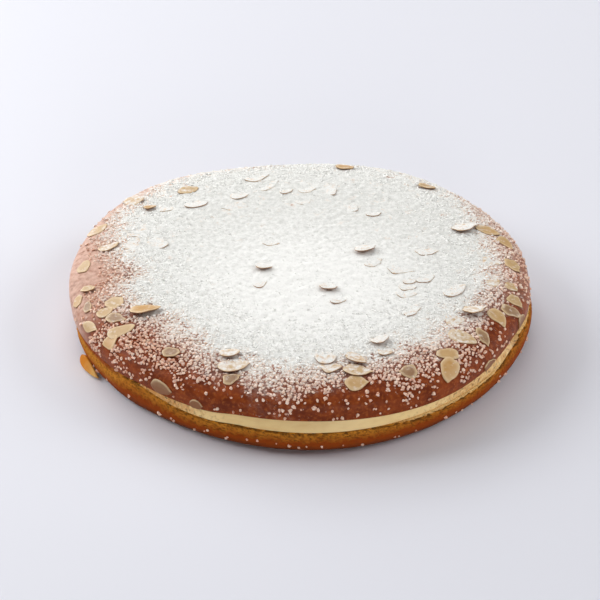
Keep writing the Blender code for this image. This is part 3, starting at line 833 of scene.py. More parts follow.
def crust_finish():
    """Glazed red-brown crust, with icing sugar where the piece's sugar number is high."""
    hues = colours()
    material, tree, shader = new_finish("glazed_crust")
    # The baked skin: dark patches, light spots, and the painted sheen near the rim, a pale glare
    # off the glaze
    patches = spread(tree, grain(tree, 140, 4, 0.6), 0.36, 0.62)
    spots = spread(tree, grain(tree, 560, 3), 0.52, 0.74, 0, 0.7)
    skin = blend(tree, patches, hues.crust_dark, hues.crust)
    skin = blend(tree, spots, skin, hues.crust_light)
    mottle = spread(tree, grain(tree, 330, 3), 0.3, 0.6, 0.5, 1)
    haze = times(tree, stored(tree, "haze"), mottle)
    skin = blend(tree, haze, skin, hues.crust_painted_sheen)
    # Where the icing sugar lies: broken up by noise, with thin places but not round the painted lit
    # middle
    fine = grain(tree, 1050, 4, 0.65)
    rough = plus(tree, times(tree, fine, 0.4), times(tree, grain(tree, 390, 3, 0.6), 0.6))
    sugar = stored(tree, "sugar")
    patchy = around_zero(tree, rough, spread(tree, sugar, 0.55, 1, 2.6, 0.7))
    level = plus(tree, times(tree, sugar, 1.2), patchy)
    thin = times(tree, spread(tree, grain(tree, 150, 4, 0.7), 0.54, 0.76, 0, 0.85),
                minus(tree, 1, stored(tree, "deep")))
    level = minus(tree, level, thin)
    cover = spread(tree, level, 0.32, 0.70)
    veil = times(tree, spread(tree, sugar, 0.10, 0.45, 0, 0.45), spread(tree, fine, 0.3, 0.7))
    cover = larger(tree, cover, veil)
    # Its colour, with painted shade in its noise hollows, and whitest round the painted lit middle
    deep = times(tree, stored(tree, "deep"), 0.2)
    hollows = spread(tree, plus(tree, rough, deep), 0.42, 0.66)
    white = powder_colour(tree, level, hollows, 0.55, 1.05)
    feed(tree, shader.inputs["Base Color"], blend(tree, cover, skin, white))
    feed(tree, shader.inputs["Roughness"], spread(tree, cover, 0, 0.8, 0.46, 0.92))
    shader.inputs["Specular IOR Level"].default_value = 0.12
    shader.inputs["Sheen Weight"].default_value = 0.05
    shader.inputs["Sheen Roughness"].default_value = 0.35
    shader.inputs["Sheen Tint"].default_value = (1, 0.86, 0.82, 1)
    roughen(tree, shader, rough, 0.4 * MM)
    return material


def nib_finish(name):
    """Opaque pearl sugar, whitest on top where icing sugar lies on it."""
    hues = colours()
    material, tree, shader = new_finish(name)
    sugar = stored(tree, "sugar")
    lying = plus(tree, facing_up(tree), spread(tree, sugar, 0.65, 0.95, 0, 1.6))
    dust = times(tree, spread(tree, lying, 0, 0.6), spread(tree, sugar, 0.05, 0.6))
    tone = plus(tree, stored(tree, "tone"), times(tree, sugar, 0.7))
    tint = blend(tree, spread(tree, tone, 0.15, 1.15), hues.glazed_nib, hues.nib)
    tint = blend(tree, spread(tree, grain(tree, 700), 0.45, 0.75, 0, 0.6), tint, hues.icing_sugar)
    feed(tree, shader.inputs["Base Color"], blend(tree, dust, tint, hues.icing_sugar))
    shader.inputs["Roughness"].default_value = 0.6
    roughen(tree, shader, grain(tree, 3500, 2), 0.08 * MM)
    return material


def almond_finish():
    """Sliced almonds: a pale rim round a warmer middle, a toasted edge darkened by painted shade,
    and icing sugar on top.
    """
    hues = colours()
    material, tree, shader = new_finish("sliced_almond")
    # The slice itself
    gold = blend(tree, stored(tree, "gold"), hues.almond_pale, hues.almond_gold)
    middle = blend(tree, stored(tree, "soaked"), gold, hues.almond_soaked)
    mottle = spread(tree, grain(tree, 260, 3), 0.25, 0.75, 0, 0.3)
    flesh = blend(tree, mottle, middle, hues.almond_rim)
    rim = spread(tree, stored(tree, "rim"), 0.60, 0.94, 0, 0.8)
    flesh = blend(tree, rim, flesh, hues.almond_rim)
    # Toasted edge and underside, with painted shade: darker the more a face looks down
    under = spread(tree, facing_up(tree), 0.35, -0.1)
    flesh = blend(tree, under, flesh, hues.almond_edge_and_shade)
    # Icing sugar on its upper side, less of it on the rim of a barer slice
    rough = grain(tree, 1300, 4, 0.65)
    patchy = around_zero(tree, grain(tree, 340, 4, 0.6), 2)
    level = plus(tree, stored(tree, "sugar"), patchy)
    bare_rim = times(tree, spread(tree, stored(tree, "rim"), 0.86, 0.99),
                    spread(tree, stored(tree, "sugar"), 0.85, 0.6, 0, 0.65))
    top = times(tree, spread(tree, facing_up(tree), 0.35, 0.7),
               minus(tree, 1, bare_rim))
    dust = times(tree, spread(tree, level, 0.25, 0.75), top)
    white = powder_colour(tree, level, spread(tree, rough, 0.35, 0.6), 0.5, 1.0)
    feed(tree, shader.inputs["Base Color"], blend(tree, dust, flesh, white))
    feed(tree, shader.inputs["Roughness"], spread(tree, dust, 0, 0.8, 0.42, 0.9))
    roughen(tree, shader, rough, 0.12 * MM)
    return material


def crumb_finish():
    """Lower half: dark red-brown foot, orange-brown above it, then porous ochre crumb with painted
    shade in its pores.
    """
    hues = colours()
    material, tree, shader = new_finish("brioche_crumb")
    # From the foot up, with cream on the top where it has run over
    up = plus(tree, stored(tree, "up"), around_zero(tree, grain(tree, 330, 3), 0.5))
    tone = blend(tree, spread(tree, up, 0.16, 0.42), hues.foot, hues.baked_crumb)
    tone = blend(tree, spread(tree, up, 0.52, 0.92), tone, hues.crumb)
    tone = blend(tree, times(tree, stored(tree, "cream"), 0.6), tone, hues.cream)
    # Painted shade in the pores and holes, then the glaze on the lip
    fine = times(tree, spread(tree, grain(tree, 1300, 3), 0.50, 0.68), spread(tree, up, 0.25, 0.6))
    painted_pore_shades = plus(tree, stored(tree, "pit"), times(tree, fine, 0.4))
    tone = blend(tree, spread(tree, painted_pore_shades, 0.1, 0.9, 0, 0.9), tone, hues.pore_shade)
    glaze = blend(tree, spread(tree, grain(tree, 560, 3), 0.45, 0.7), hues.crust, hues.crust_light)
    tone = blend(tree, stored(tree, "glaze"), tone, glaze)
    feed(tree, shader.inputs["Base Color"], tone)
    shader.inputs["Roughness"].default_value = 0.75
    shader.inputs["Specular IOR Level"].default_value = 0.06
    roughen(tree, shader, grain(tree, 1600, 4, 0.7), 0.2 * MM)
    return material


def cream_finish():
    """Smooth pale yellow pastry cream, with crumbs and painted shade in pores where the halves meet
    over it.
    """
    hues = colours()
    material, tree, shader = new_finish("pastry_cream")
    streaks = spread(tree, grain(tree, 120, 3, stretch=(1, 1, 3)), 0.45, 0.75, 0, 0.18)
    tone = blend(tree, streaks, hues.cream, hues.crumb)
    crumbed = stored(tree, "crumbed")
    crumbs = plus(tree, crumbed, around_zero(tree, grain(tree, 420, 4, 0.7), 1.6))
    tone = blend(tree, spread(tree, crumbs, 0.4, 1.0, 0, 0.85), tone, hues.crumb)
    # Painted shade in the pores among the crumbs
    pores = times(tree, crumbed, spread(tree, grain(tree, 520, 3), 0.54, 0.64, 0, 0.8))
    feed(tree, shader.inputs["Base Color"], blend(tree, pores, tone, hues.pore_shade))
    shader.inputs["Roughness"].default_value = 0.5
    roughen(tree, shader, grain(tree, 350, 2), 0.15 * MM)
    return material


def toasted_finish():
    """The toasted slice at the foot: deep orange, yellower towards one end."""
    hues = colours()
    material, tree, shader = new_finish("toasted_almond")
    mottle = around_zero(tree, grain(tree, 200, 3), 0.6)
    tone = spread(tree, plus(tree, stored(tree, "tone"), mottle), 0.3, 0.8)
    feed(tree, shader.inputs["Base Color"], blend(tree, tone, hues.toasted, hues.toasted_tip))
    shader.inputs["Roughness"].default_value = 0.6
    shader.inputs["Specular IOR Level"].default_value = 0.15
    roughen(tree, shader, grain(tree, 1500, 2), 0.08 * MM)
    return material


# Pieces

# Points round the crust, distance between its rings, and the finer share of it on the wall
CRUST_STEPS = 620
CRUST_RING = 0.95 * MM
CORNER_RING = 0.7
DOME_POINTS = 2000

# Lumps of the relief, its share on the bare crust, and how much calmer the thick sugar is
RELIEF_LUMP = 3.6 * MM
BARE_RELIEF = 0.12
CALM_SUGAR = 0.3

# Painted sheen near the rim, a pale glare of light off the glaze, strongest at the back left:
# (stretch, strength), the shares of the way out between which it sets in, and where the wall under
# it stays clear
PAINTED_SHEEN_RIMS = (((160, 34, 16), 0.95), ((20, 22, 20), 0.4))
MOST_PAINTED_SHEEN = 0.95
PAINTED_SHEEN_SHARES = (0.70, 0.87)
WALLS_WITHOUT_SHEEN = (((90, 62, 14), 0.85),)

# Painted light: the icing sugar is painted whitest and evenest round this spot, and greyer and
# patchier away from it, most at the back, where less light falls; in metres
PAINTED_LIT_MIDDLE = (0.004, -0.028)
PAINTED_LIT_REACH = 0.105


def make_crust():
    """The domed upper half, fine enough for the relief of the icing sugar."""
    cake = sizes()
    rim = cake.radius - cake.crust_inset
    under = cake.base_height + cake.cream_height
    widest = under + cake.waist_height
    turn = np.linspace(0, math.pi / 2, DOME_POINTS)
    across = np.cos(turn[:-1]) ** (2 / cake.dome_power)
    up = np.sin(turn[:-1]) ** (2 / cake.dome_power)
    rise = (cake.height - widest) * np.append(up, 1)
    dome = np.stack((rim * np.append(across, 0), widest + rise), axis=1)
    wall = [(rim - EDGE_INSET, under), (rim, widest)]
    profile = [(0, under), (CUT_RING * rim, under), (rim - LIP_WIDTH, under)]
    profile += [tuple(point) for point in even_steps(wall, CRUST_RING * CORNER_RING)[:-1]]
    profile += [tuple(point) for point in even_steps(dome, CRUST_RING)]
    piece = turned_piece("glazed_crust", profile, CRUST_STEPS)
    azimuth, radius, height = polar(points_of(piece))
    share = radius / rim
    radius = share * crust_rim(azimuth)
    edge = crust_edge_height(azimuth)
    low = edge + cake.waist_height
    domed = low + (cake.height - low) * (height - widest) / (cake.height - widest)
    shaped = np.where(height < widest, edge + height - under, domed)
    below = height < under + MERGE
    shaped = np.where(below, crust_under(azimuth, radius), shaped)
    coords = at_azimuth(azimuth, radius, shaped)
    move_points(piece, coords)
    cover = np.where(below, 0, sugar_cover(azimuth, share))
    lumps = relief(coords, RELIEF_LUMP)
    calm = 1 - CALM_SUGAR * thick_sugar(azimuth, share)
    covered = BARE_RELIEF + (1 - BARE_RELIEF) * cover
    lift = toppings().powder_relief * lumps * covered * calm
    move_points(piece, coords + points_of(piece, "normal") * (lift * ~below)[:, None])
    # Painted sheen: a pale glare painted on the rim, kept off the lower walls at the back
    haze = weighted_stretches(azimuth, PAINTED_SHEEN_RIMS)
    haze *= 1 - weighted_stretches(azimuth, WALLS_WITHOUT_SHEEN) * (1 - ramp(shaped, edge, low))
    store(piece, "haze", np.clip(haze, 0, MOST_PAINTED_SHEEN) * ramp(share, *PAINTED_SHEEN_SHARES) * ~below)
    store(piece, "sugar", np.clip(cover + lumps * cover * (1 - cover), 0, 1))
    # Painted light: the icing sugar is painted whiter round a spot near the front middle
    from_lit_middle = np.hypot(coords[:, 0] - PAINTED_LIT_MIDDLE[0], coords[:, 1] - PAINTED_LIT_MIDDLE[1])
    store(piece, "deep", 1 - smooth(from_lit_middle / PAINTED_LIT_REACH))
    dress(piece, crust_finish(), "brioche_top", "brioche_top")


# Points round the lower half, distance between its rings, the width of lip that has close rings
# too, and how often the corners of its wall are rounded
BASE_STEPS = 1100
BASE_RING = 0.55 * MM
LIP_RINGS = 3 * MM
WALL_SOFTENED = 5

# Share of the height from which the wall is drawn in under the crust's edge
PULL_START = 0.55

# Pores of the crumb: size, how much flatter than wide, the levels of the noise between which they
# open, the shares of the height between which they set in, how much weaker they are above the
# seam, and how deep they are and how much painted shade they get, as shares of a hole's
PORE_LENGTH = 1.25 * MM
PORE_FLATNESS = 1.8
PORE_LEVELS = (0.02, 0.36)
PORE_BELT = (0.40, 0.64)
PORES_LOST = 0.3
PORE_DEPTH = 0.45
PORE_SHADE = 0.6

# Ragged holes along the seam, on a belt given from the top of the crumb in shares of the height,
# their usual strength and what some stretches add, and the low wrinkles of the wall
HOLE_LENGTH = 3.6 * MM
HOLE_FLATNESS = 2.6
HOLE_LEVELS = (-0.08, 0.12)
SEAM_BELT = (-0.16, -0.05, 0.0, 0.04)
RAGGED_HOLES = (0.8, 0.4)
RAGGED_STRETCHES = ((326, 16, 24),)
WRINKLE_LENGTH = 2.2 * HOLE_LENGTH
WRINKLE_DEPTH = 0.15 * MM

# Where cream has run down over the top of the crumb, by a share of the height
CREAMY_TOP = 0.16
CREAMY_STRETCHES = ((326, 26, 12),)

# Where glaze has run on to the lip, from which shares of the height, and the lower foot there
GLAZED_STRETCHES = ((196, 16, 10),)
GLAZED_LIP = (0.80, 0.88)
LOW_FOOT = 0.45


def make_base():
    """The lower half: browned foot, porous crumb and the lip that closes round the cream."""
    cake = sizes()
    top = cake.base_height
    wall = [(cake.radius - inset * cake.foot_inset, up * top) for inset, up in WALL]
    wall = soften(even_steps(wall, BASE_RING), WALL_SOFTENED)
    rim = even_steps([(cake.radius, top), (cake.radius - LIP_RINGS, top)], BASE_RING)[1:]
    profile = [(0, 0), (CUT_RING * cake.radius, 0), *map(tuple, wall), *map(tuple, rim),
               (cake.radius - LIP_WIDTH, top), (CUT_RING * cake.radius, top), (0, top)]
    piece = turned_piece("brioche_crumb", profile, BASE_STEPS)
    azimuth, radius, height = polar(points_of(piece))
    edge = base_edge(azimuth)
    on_top = height > top - MERGE
    near_rim = radius > cake.radius - LIP_WIDTH + MERGE
    outer = np.where(radius > CUT_RING * cake.radius + MERGE, radius + edge - cake.radius, radius)
    radius = np.where(on_top, outer, radius * edge / cake.radius)
    share = height / top
    height = np.where(on_top, base_top(azimuth, radius), share * base_top(azimuth, edge))
    overhang = np.clip(edge - crust_rim(azimuth) + EDGE_INSET, 0, None)
    pull = closed(azimuth) * overhang * ramp(share, PULL_START, 1)
    radius = radius - np.where(near_rim, pull, 0)
    coords = at_azimuth(azimuth, radius, height)
    move_points(piece, coords)
    on_wall = (height > MERGE) & near_rim
    creamy = stretch_share(azimuth, CREAMY_STRETCHES)
    crumb_top = 1 - CREAMY_TOP * creamy
    rise, level, fall, end = SEAM_BELT
    above = ramp(share, crumb_top + fall, crumb_top + end)
    porous = ramp(share, *PORE_BELT) * (1 - PORES_LOST * above)
    pores = ramp(relief(coords, PORE_LENGTH, PORE_FLATNESS), *PORE_LEVELS)
    seam = ramp(share, crumb_top + rise, crumb_top + level) * (1 - above)
    usual, more = RAGGED_HOLES
    ragged = usual + more * stretch_share(azimuth, RAGGED_STRETCHES)
    holes = ragged * seam * ramp(relief(coords, HOLE_LENGTH, HOLE_FLATNESS), *HOLE_LEVELS)
    wrinkles = WRINKLE_DEPTH * (1 + relief(coords, WRINKLE_LENGTH))
    depth = toppings().pore_depth * (PORE_DEPTH * porous * pores + holes) + wrinkles
    move_points(piece, coords - points_of(piece, "normal") * (depth * (on_wall & ~on_top))[:, None])
    # Painted shade: pores and holes are painted darker, as shade falls in them
    store(piece, "pit", np.clip(PORE_SHADE * porous * pores + holes, 0, 1))
    low_foot = 1 + LOW_FOOT * stretch_share(azimuth, GLAZED_STRETCHES)
    store(piece, "up", np.where(on_wall, np.clip(share * low_foot, 0, 1), np.where(on_top, 1, 0)))
    store(piece, "cream", creamy * above * (1 - holes))
    store(piece, "glaze", stretch_share(azimuth, GLAZED_STRETCHES) * ramp(share, *GLAZED_LIP))
    dress(piece, crumb_finish(), "brioche_base", "brioche_base")


# Air between the cream and each half, points round it, rings up its face, and how uneven it is,
# as a strength and a size
CREAM_GAP = 0.02 * MM
CREAM_STEPS = 720
CREAM_RINGS = 9
CREAM_UNEVEN = (0.2 * MM, 9 * MM)

# Where crumbs stick to the cream's rim, and how much
CRUMBED_CREAM = (((216, 16, 26), 1.0), ((332, 18, 26), 0.7))


def make_cream():
    """The layer of pastry cream between the halves."""
    cake = sizes()
    low, high = cake.base_height, cake.base_height + cake.cream_height
    face = np.linspace(low, high, CREAM_RINGS)
    profile = [(0, low), (CUT_RING * cake.radius, low), (cake.radius - LIP_WIDTH, low),
               *((cake.radius, height) for height in face),
               (cake.radius - LIP_WIDTH, high), (CUT_RING * cake.radius, high), (0, high)]
    piece = turned_piece("pastry_cream", profile, CREAM_STEPS)
    azimuth, radius, height = polar(points_of(piece))
    share = radius / cake.radius
    recess = CREAM_INSET + ramp(closed(azimuth), *CREAM_DRAWN_IN) * CREAM_RECESS
    low_rim = base_edge(azimuth) - recess
    high_rim = crust_rim(azimuth) - EDGE_INSET - recess
    up = (height - low) / cake.cream_height
    bulge = CREAM_BULGE * (1 - closed(azimuth)) * np.sin(math.pi * up) * (share > 1 - MERGE)
    radius = share * (low_rim + (high_rim - low_rim) * up) + bulge
    bottom = base_top(azimuth, share * low_rim) + CREAM_GAP
    top = crust_under(azimuth, share * high_rim) - CREAM_GAP
    move_points(piece, at_azimuth(azimuth, radius, bottom + (top - bottom) * up))
    swell(piece, *CREAM_UNEVEN)
    store(piece, "crumbed", weighted_stretches(azimuth, CRUMBED_CREAM))
    dress(piece, cream_finish(), "cream", "cream")


# A slice's side, as (distance from its middle, height), 1 across and 1 thick, its points round,
# and the waves and curl that make each a little different
SLICE_PROFILE = ((0, -0.5), (0.30, -0.5), (0.465, -0.5), (0.495, -0.3), (0.5, 0), (0.495, 0.3),
                 (0.465, 0.5), (0.40, 0.5), (0.28, 0.5), (0.14, 0.5), (0, 0.5))
SLICE_SIDES = 28
SLICE_UNEVEN = 0.07
SLICE_WAVES = (2, 3, 4, 6)
SLICE_CURL = (0.1 * MM, 0.5 * MM)

# How deep slices lie in the glaze, and dusted ones in the icing sugar, which also presses their
# raised edge down, unless that stands at least so high
SLICE_SINK = 0.25 * MM
SLICE_BURIED = 0.85 * MM
SUGARED_DOWN = 0.4
STANDING = 1.7 * MM

# How golden the slices are that aren't toasted
PALE_GOLD = (0, 0.6)


def almond_slice():
    """Points and faces of a round slice, 1 across and 1 thick, and how near each is to its rim."""
    piece = turned_piece("almond_slice", SLICE_PROFILE, SLICE_SIDES)
    bpy.ops.object.mode_set(mode="EDIT")
    bpy.ops.mesh.select_all(action="SELECT")
    bpy.ops.mesh.quads_convert_to_tris()
    bpy.ops.object.mode_set(mode="OBJECT")
    shape = points_of(piece)
    faces = [tuple(face.vertices) for face in piece.data.polygons]
    bpy.data.objects.remove(piece, do_unlink=True)
    return shape, faces, 2 * np.hypot(shape[:, 0], shape[:, 1])


def lay_slice(shape, surface, slice_place, rng):
    """Points of one slice, with its own uneven outline, bent to the crust, one edge raised."""
    azimuth, share, turn, length, width, raised, look = slice_place
    middle, normal = crust_place(surface, azimuth, share)
    heading = Vector((math.cos(turn), math.sin(turn), 0))
    along = (heading - normal * heading.dot(normal)).normalized()
    across = normal.cross(along)
    around = np.arctan2(shape[:, 1], shape[:, 0])
    uneven = 1 + sum(rng.uniform(0, SLICE_UNEVEN)
                     * np.cos(count * around - rng.uniform(0, math.tau)) for count in SLICE_WAVES)
    flat = shape[:, :2] * uneven[:, None]
    tip = np.clip(1 - 2 * shape[:, 0], 0, None) ** rng.uniform(*ALMOND_POINT)
    flat[:, 1] *= tip * (1 - ALMOND_TAPER * shape[:, 0])
    curl = rng.uniform(*SLICE_CURL)
    sunk = 0
    if look == "dusted" and raised < STANDING:
        raised *= 1 - SUGARED_DOWN * float(thick_sugar(azimuth, share))
        sunk = SLICE_BURIED * float(sugar_cover(azimuth, share))
    points = []
    for (x, y), z in zip(flat, shape[:, 2]):
        place, outwards = surface.nearest(middle + along * (x * length) + across * (y * width))
        lift = raised * (0.5 - y) + curl * (2 * x) ** 2
        height = (z + 0.5) * toppings().almond_thickness - SLICE_SINK + lift - sunk
        points.append(place + outwards * height)
    return np.array(points)


def slice_dust(look, azimuth, share):
    """How much of a slice's upper side lies under icing sugar."""
    if look == "dusted":
        return DUST_ON[look] * (1 - BARER_OUTSIDE * (1 - float(sugar_cover(azimuth, share))))
    return DUST_ON[look] + DUST_FROM_FIELD * float(sugar_cover(azimuth, share))


def make_almonds():
    """All the almond slices on the crust."""
    surface = crust_surface()
    rng = random.Random(SEED)
    shape, faces, rim = almond_slice()
    places = almond_places(random.Random(SEED))
    copies = [lay_slice(shape, surface, place, rng) for place in places]
    looks = [place[-1] for place in places]
    values = {
        "sugar": [slice_dust(look, azimuth, share) for azimuth, share, *_, look in places],
        "soaked": [float(look == "soaked") for look in looks],
        "gold": [1.0 if look == "gold" else rng.uniform(*PALE_GOLD) for look in looks],
    }
    piece = joined_copies("almond_slices", shape, faces, copies, values)
    store(piece, "rim", np.tile(rim, len(places)))
    dress(piece, almond_finish(), "brioche_top", "brioche_top")


# Rough grains in a few shapes, stretched at random
NIB_SHAPES = 8
NIB_ROUGHNESS = 0.27
NIB_EDGE = math.radians(30)
NIB_STRETCH = (0.68, 1.2)

# How far a grain's middle lies above what carries it, and how much deeper it is in icing sugar,
# in thick icing sugar and near the rim, all in sizes of the grain; then the cover of icing sugar
# from which it counts as buried
NIB_RISE = 0.20
FOOT_NIB_RISE = -0.05
NIB_BURIED = 0.42
NIB_DEEPER = 0.22
NIB_RIM_SUNK = 0.12
BURIED_COVER = 0.93

# Where they lie: past the edge of the icing sugar they thin out over a belt, which some stretches
# move further out or in, patchily: (least share, what a patch adds)
NIB_BELT = (0.06, 0.18)
NIB_WIDER = (((216, 15, 14), 0.12), ((253, 8, 8), -0.03), ((270, 8, 10), -0.03),
             ((288, 6, 8), -0.03), ((306, 18, 14), 0.05), ((334, 8, 8), -0.06))
NIB_PATCH = 11 * MM
NIB_PATCHY = (0.75, 0.5)

# Strays on the bare front, fewer grains in thick sugar, and fewer at the outermost rim
NIB_STRAY_STRETCHES = ((270, 62, 16),)
STRAY_NIBS = 0.24
NIB_THINNED = 0.5
RIM_THINNED = (((155, 45, 14), 0.85),)
THINNED_RIM = (0.90, 0.98)

# How much of a dusted slice grains may lie on, and the room that they keep round slices
NIBS_ON_SLICE = 0.5
NIB_MARGIN = 0.4 * MM

# The uneven grid that they are strewn on, and how far up the wall it ends
NIB_JITTER = 0.42
ROW_SPACING = 0.87
ARC_STEPS = 400
WALL_MARGIN = 1.2 * MM


def nib_shapes():
    """A few rough grains of pearl sugar, about 1 across: their points, and their faces."""
    shapes = []
    for count in range(NIB_SHAPES):
        bpy.ops.object.select_all(action="DESELECT")
        bpy.ops.mesh.primitive_ico_sphere_add(subdivisions=1, radius=0.5)
        bpy.ops.object.mode_set(mode="EDIT")
        bpy.ops.transform.vertex_random(offset=NIB_ROUGHNESS, seed=SEED + count)
        bpy.ops.object.mode_set(mode="OBJECT")
        grain_piece = bpy.context.object
        shapes.append(points_of(grain_piece))
        faces = [tuple(face.vertices) for face in grain_piece.data.polygons]
        bpy.data.objects.remove(grain_piece, do_unlink=True)
    return shapes, faces


def turned_grain(shape, place, normal, size, rise, rng):
    """Points of one grain, turned at random; rise is how far its middle is above, in sizes."""
    axis = Vector((rng.uniform(-1, 1), rng.uniform(-1, 1), rng.uniform(-1, 1))).normalized()
    spin = np.array(axis.rotation_difference(normal).to_matrix())
    stretch = np.array([rng.uniform(*NIB_STRETCH) for _ in range(3)])
    middle = np.array(place + normal * size * rise)
    return (shape * stretch * size) @ spin.T + middle


def clear_of_slices(spot, ellipses):
    """True where a spot isn't on one of the almond slices."""
    for middle, along, across, length, width in ellipses:
        away = spot - middle
        if (away.dot(along) / length) ** 2 + (away.dot(across) / width) ** 2 < 1:
            return False
    return True


def nib_share(azimuth, share, spot):
    """How much of the thickest covering of nibs lies at a place."""
    edge = sugar_edge(azimuth, share)
    patch = 0.5 + 0.5 * noise.noise(spot / NIB_PATCH)
    edge += weighted_stretches(azimuth, NIB_WIDER)
    thick = 1 - ramp(share, edge + NIB_BELT[0], edge + NIB_BELT[1])
    thick *= 1 - NIB_THINNED * thick_sugar(azimuth, share)
    thick *= 1 - ramp(share, *THINNED_RIM) * weighted_stretches(azimuth, RIM_THINNED)
    stray = STRAY_NIBS * patch * stretch_share(azimuth, NIB_STRAY_STRETCHES)
    least, more = NIB_PATCHY
    return (stray + thick * (least + more * patch)) * (share < 1 or stray > 0)


def crust_arc():
    """Lengths along the crust from its top out and down its wall, and the shares there."""
    shares = 1 - np.linspace(1, 0, ARC_STEPS) ** 2
    steps = np.hypot(np.diff(shares * sizes().radius), np.diff(dome_height(0, shares)))
    lengths = np.append(0, np.cumsum(steps))
    down = sizes().waist_height - WALL_MARGIN
    return np.append(lengths, lengths[-1] + down), np.append(shares, 1 + down / sizes().radius)


def common_nib_places(slices, rng):
    """Places of the smaller nibs, on an uneven grid, clear of the slices that show."""
    ellipses = []
    for azimuth, share, turn, length, width, _, look in slices:
        along = Vector((math.cos(turn), math.sin(turn), 0))
        across = Vector((-math.sin(turn), math.cos(turn), 0))
        covered = NIBS_ON_SLICE * float(sugar_cover(azimuth, share)) * (look == "dusted")
        spot = flat_place(azimuth, share) - across * width * covered / 2
        ellipses.append((spot, along, across, length / 2 + NIB_MARGIN,
                         width * (1 - covered) / 2 + NIB_MARGIN))
    spacing = toppings().nib_spacing
    lengths, shares = crust_arc()
    columns = math.ceil(lengths[-1] / spacing)
    rows = math.ceil(columns / ROW_SPACING)
    places = []
    for row in range(-rows, rows + 1):
        for column in range(-columns, columns + 1):
            x = (column + 0.5 * (row % 2) + rng.uniform(-NIB_JITTER, NIB_JITTER)) * spacing
            y = (row + rng.uniform(-NIB_JITTER, NIB_JITTER)) * spacing * ROW_SPACING
            azimuth = math.atan2(y, x)
            along = math.hypot(x, y)
            chance = rng.random()
            if along > lengths[-1]:
                continue
            share = float(np.interp(along, lengths, shares))
            spot = flat_place(azimuth, min(share, 1))
            if chance < nib_share(azimuth, share, spot) and clear_of_slices(spot, ellipses):
                places.append((azimuth, share))
    return places


def make_nibs():
    """The sugar nibs on the crust, one piece for those that the icing sugar buries."""
    surface = crust_surface()
    rng = random.Random(SEED)
    shapes, faces = nib_shapes()
    slices = almond_places(random.Random(SEED))
    places = large_nib_places(slices, random.Random(SEED))
    small, large = toppings().nib_smallest, toppings().nib_largest
    for azimuth, share in common_nib_places(slices, rng):
        places.append((azimuth, share, rng.uniform(small, large)))
    kinds = {"sugar_nibs": ([], []), "buried_nibs": ([], [])}
    for azimuth, share, size in places:
        place, normal = crust_place(surface, azimuth, share)
        powder = float(sugar_cover(azimuth, share))
        rise = NIB_RISE - NIB_BURIED * powder - NIB_DEEPER * float(thick_sugar(azimuth, share))
        rise -= NIB_RIM_SUNK * float(ramp(share, *THINNED_RIM))
        copies, cover = kinds["buried_nibs" if powder > BURIED_COVER else "sugar_nibs"]
        copies.append(turned_grain(rng.choice(shapes), place, normal, size, rise, rng))
        cover.append(powder)
    for name, (copies, cover) in kinds.items():
        tones = [rng.random() for _ in copies]
        piece = joined_copies(name, shapes[0], faces, copies, {"sugar": cover, "tone": tones})
        dress(piece, nib_finish(name), "brioche_top", "brioche_top", sharp=NIB_EDGE)


def make_foot_sugar():
    """Grains of sugar round the foot of the lower half."""
    surface = base_surface()
    rng = random.Random(SEED)
    shapes, faces = nib_shapes()
    copies = []
    places = foot_nib_places(random.Random(SEED))
    for azimuth, height in SMALL_FOOT_NIBS:
        places.append((math.radians(azimuth), height * MM, rng.uniform(*SMALL_FOOT_NIB_SIZE) * MM))
    for _ in range(STREWN_FOOT_NIBS):
        places.append((rng.uniform(0, math.tau), rng.uniform(*FOOT_NIB_HEIGHTS),
                       rng.uniform(*SMALL_FOOT_NIB_SIZE) * MM))
    for azimuth, height, size in places:
        place, normal = surface.nearest(at_azimuth(azimuth, base_edge(azimuth), height))
        copies.append(turned_grain(rng.choice(shapes), place, normal, size, FOOT_NIB_RISE, rng))
    values = {"sugar": [0.0] * len(copies), "tone": [rng.random() for _ in copies]}
    piece = joined_copies("foot_sugar", shapes[0], faces, copies, values)
    dress(piece, nib_finish("foot_sugar"), "brioche_base", "brioche_base", sharp=NIB_EDGE)


# Its upper and lower edges, each from one end to the other as (distance outside the rim, height)
FALLEN_TOP = ((-1.6 * MM, 7.8 * MM), (-1.2 * MM, 3.2 * MM))
FALLEN_BOTTOM = ((3.2 * MM, 0.3 * MM), (0.8 * MM, 0.3 * MM))
FALLEN_TAPER = 0.3
FALLEN_THICKNESS = 1.6 * MM


def make_fallen_slice():
    """The long toasted slice that leans on the foot at the left."""
    shape, faces, _ = almond_slice()
    start, end = (math.radians(azimuth) for azimuth in FALLEN_AZIMUTHS)
    points = []
    for x, y, z in shape:
        share = min(max(x + 0.5, 0), 1)
        azimuth = start + (end - start) * share
        top = Vector(FALLEN_TOP[0]).lerp(Vector(FALLEN_TOP[1]), share)
        bottom = Vector(FALLEN_BOTTOM[0]).lerp(Vector(FALLEN_BOTTOM[1]), share)
        slope = top - bottom
        up = 0.5 + y * (1 - FALLEN_TAPER * share)
        out = bottom.lerp(top, up) + Vector((slope.y, -slope.x)).normalized() * z * FALLEN_THICKNESS
        points.append(at_azimuth(azimuth, base_edge(azimuth) + out.x, max(out.y, 0)))
    piece = joined_copies("toasted_slice", shape, faces, [np.array(points)], {})
    store(piece, "tone", shape[:, 0] + 0.5)
    dress(piece, toasted_finish(), "brioche_base", "brioche_base")


# Stage

# The soft lights: (setting of the power, place of the middle in metres, width in metres)
LIGHTS = (("window_power", (-0.7, 2.7, 2.7), 3.0), ("low_power", (-1.9, 2.6, 1.1), 2.0),
          ("side_power", (-1.2, 0.3, 0.8), 0.8), ("right_power", (2.0, 0.3, 1.2), 1.5),
          ("top_power", (0, 0, 3), 2.0), ("fill_power", (0.4, -2.5, 0.4), 0.7))


def soft_light(name, place, size, power):
    """A square light that looks at the middle of the floor."""
    aim = (-Vector(place)).to_track_quat("-Z", "Y").to_euler()
    bpy.ops.object.light_add(type="AREA", location=place, rotation=aim)
    light = bpy.context.object
    light.name = name
    light.data.shape = "SQUARE"
    light.data.size = size
    light.data.energy = power


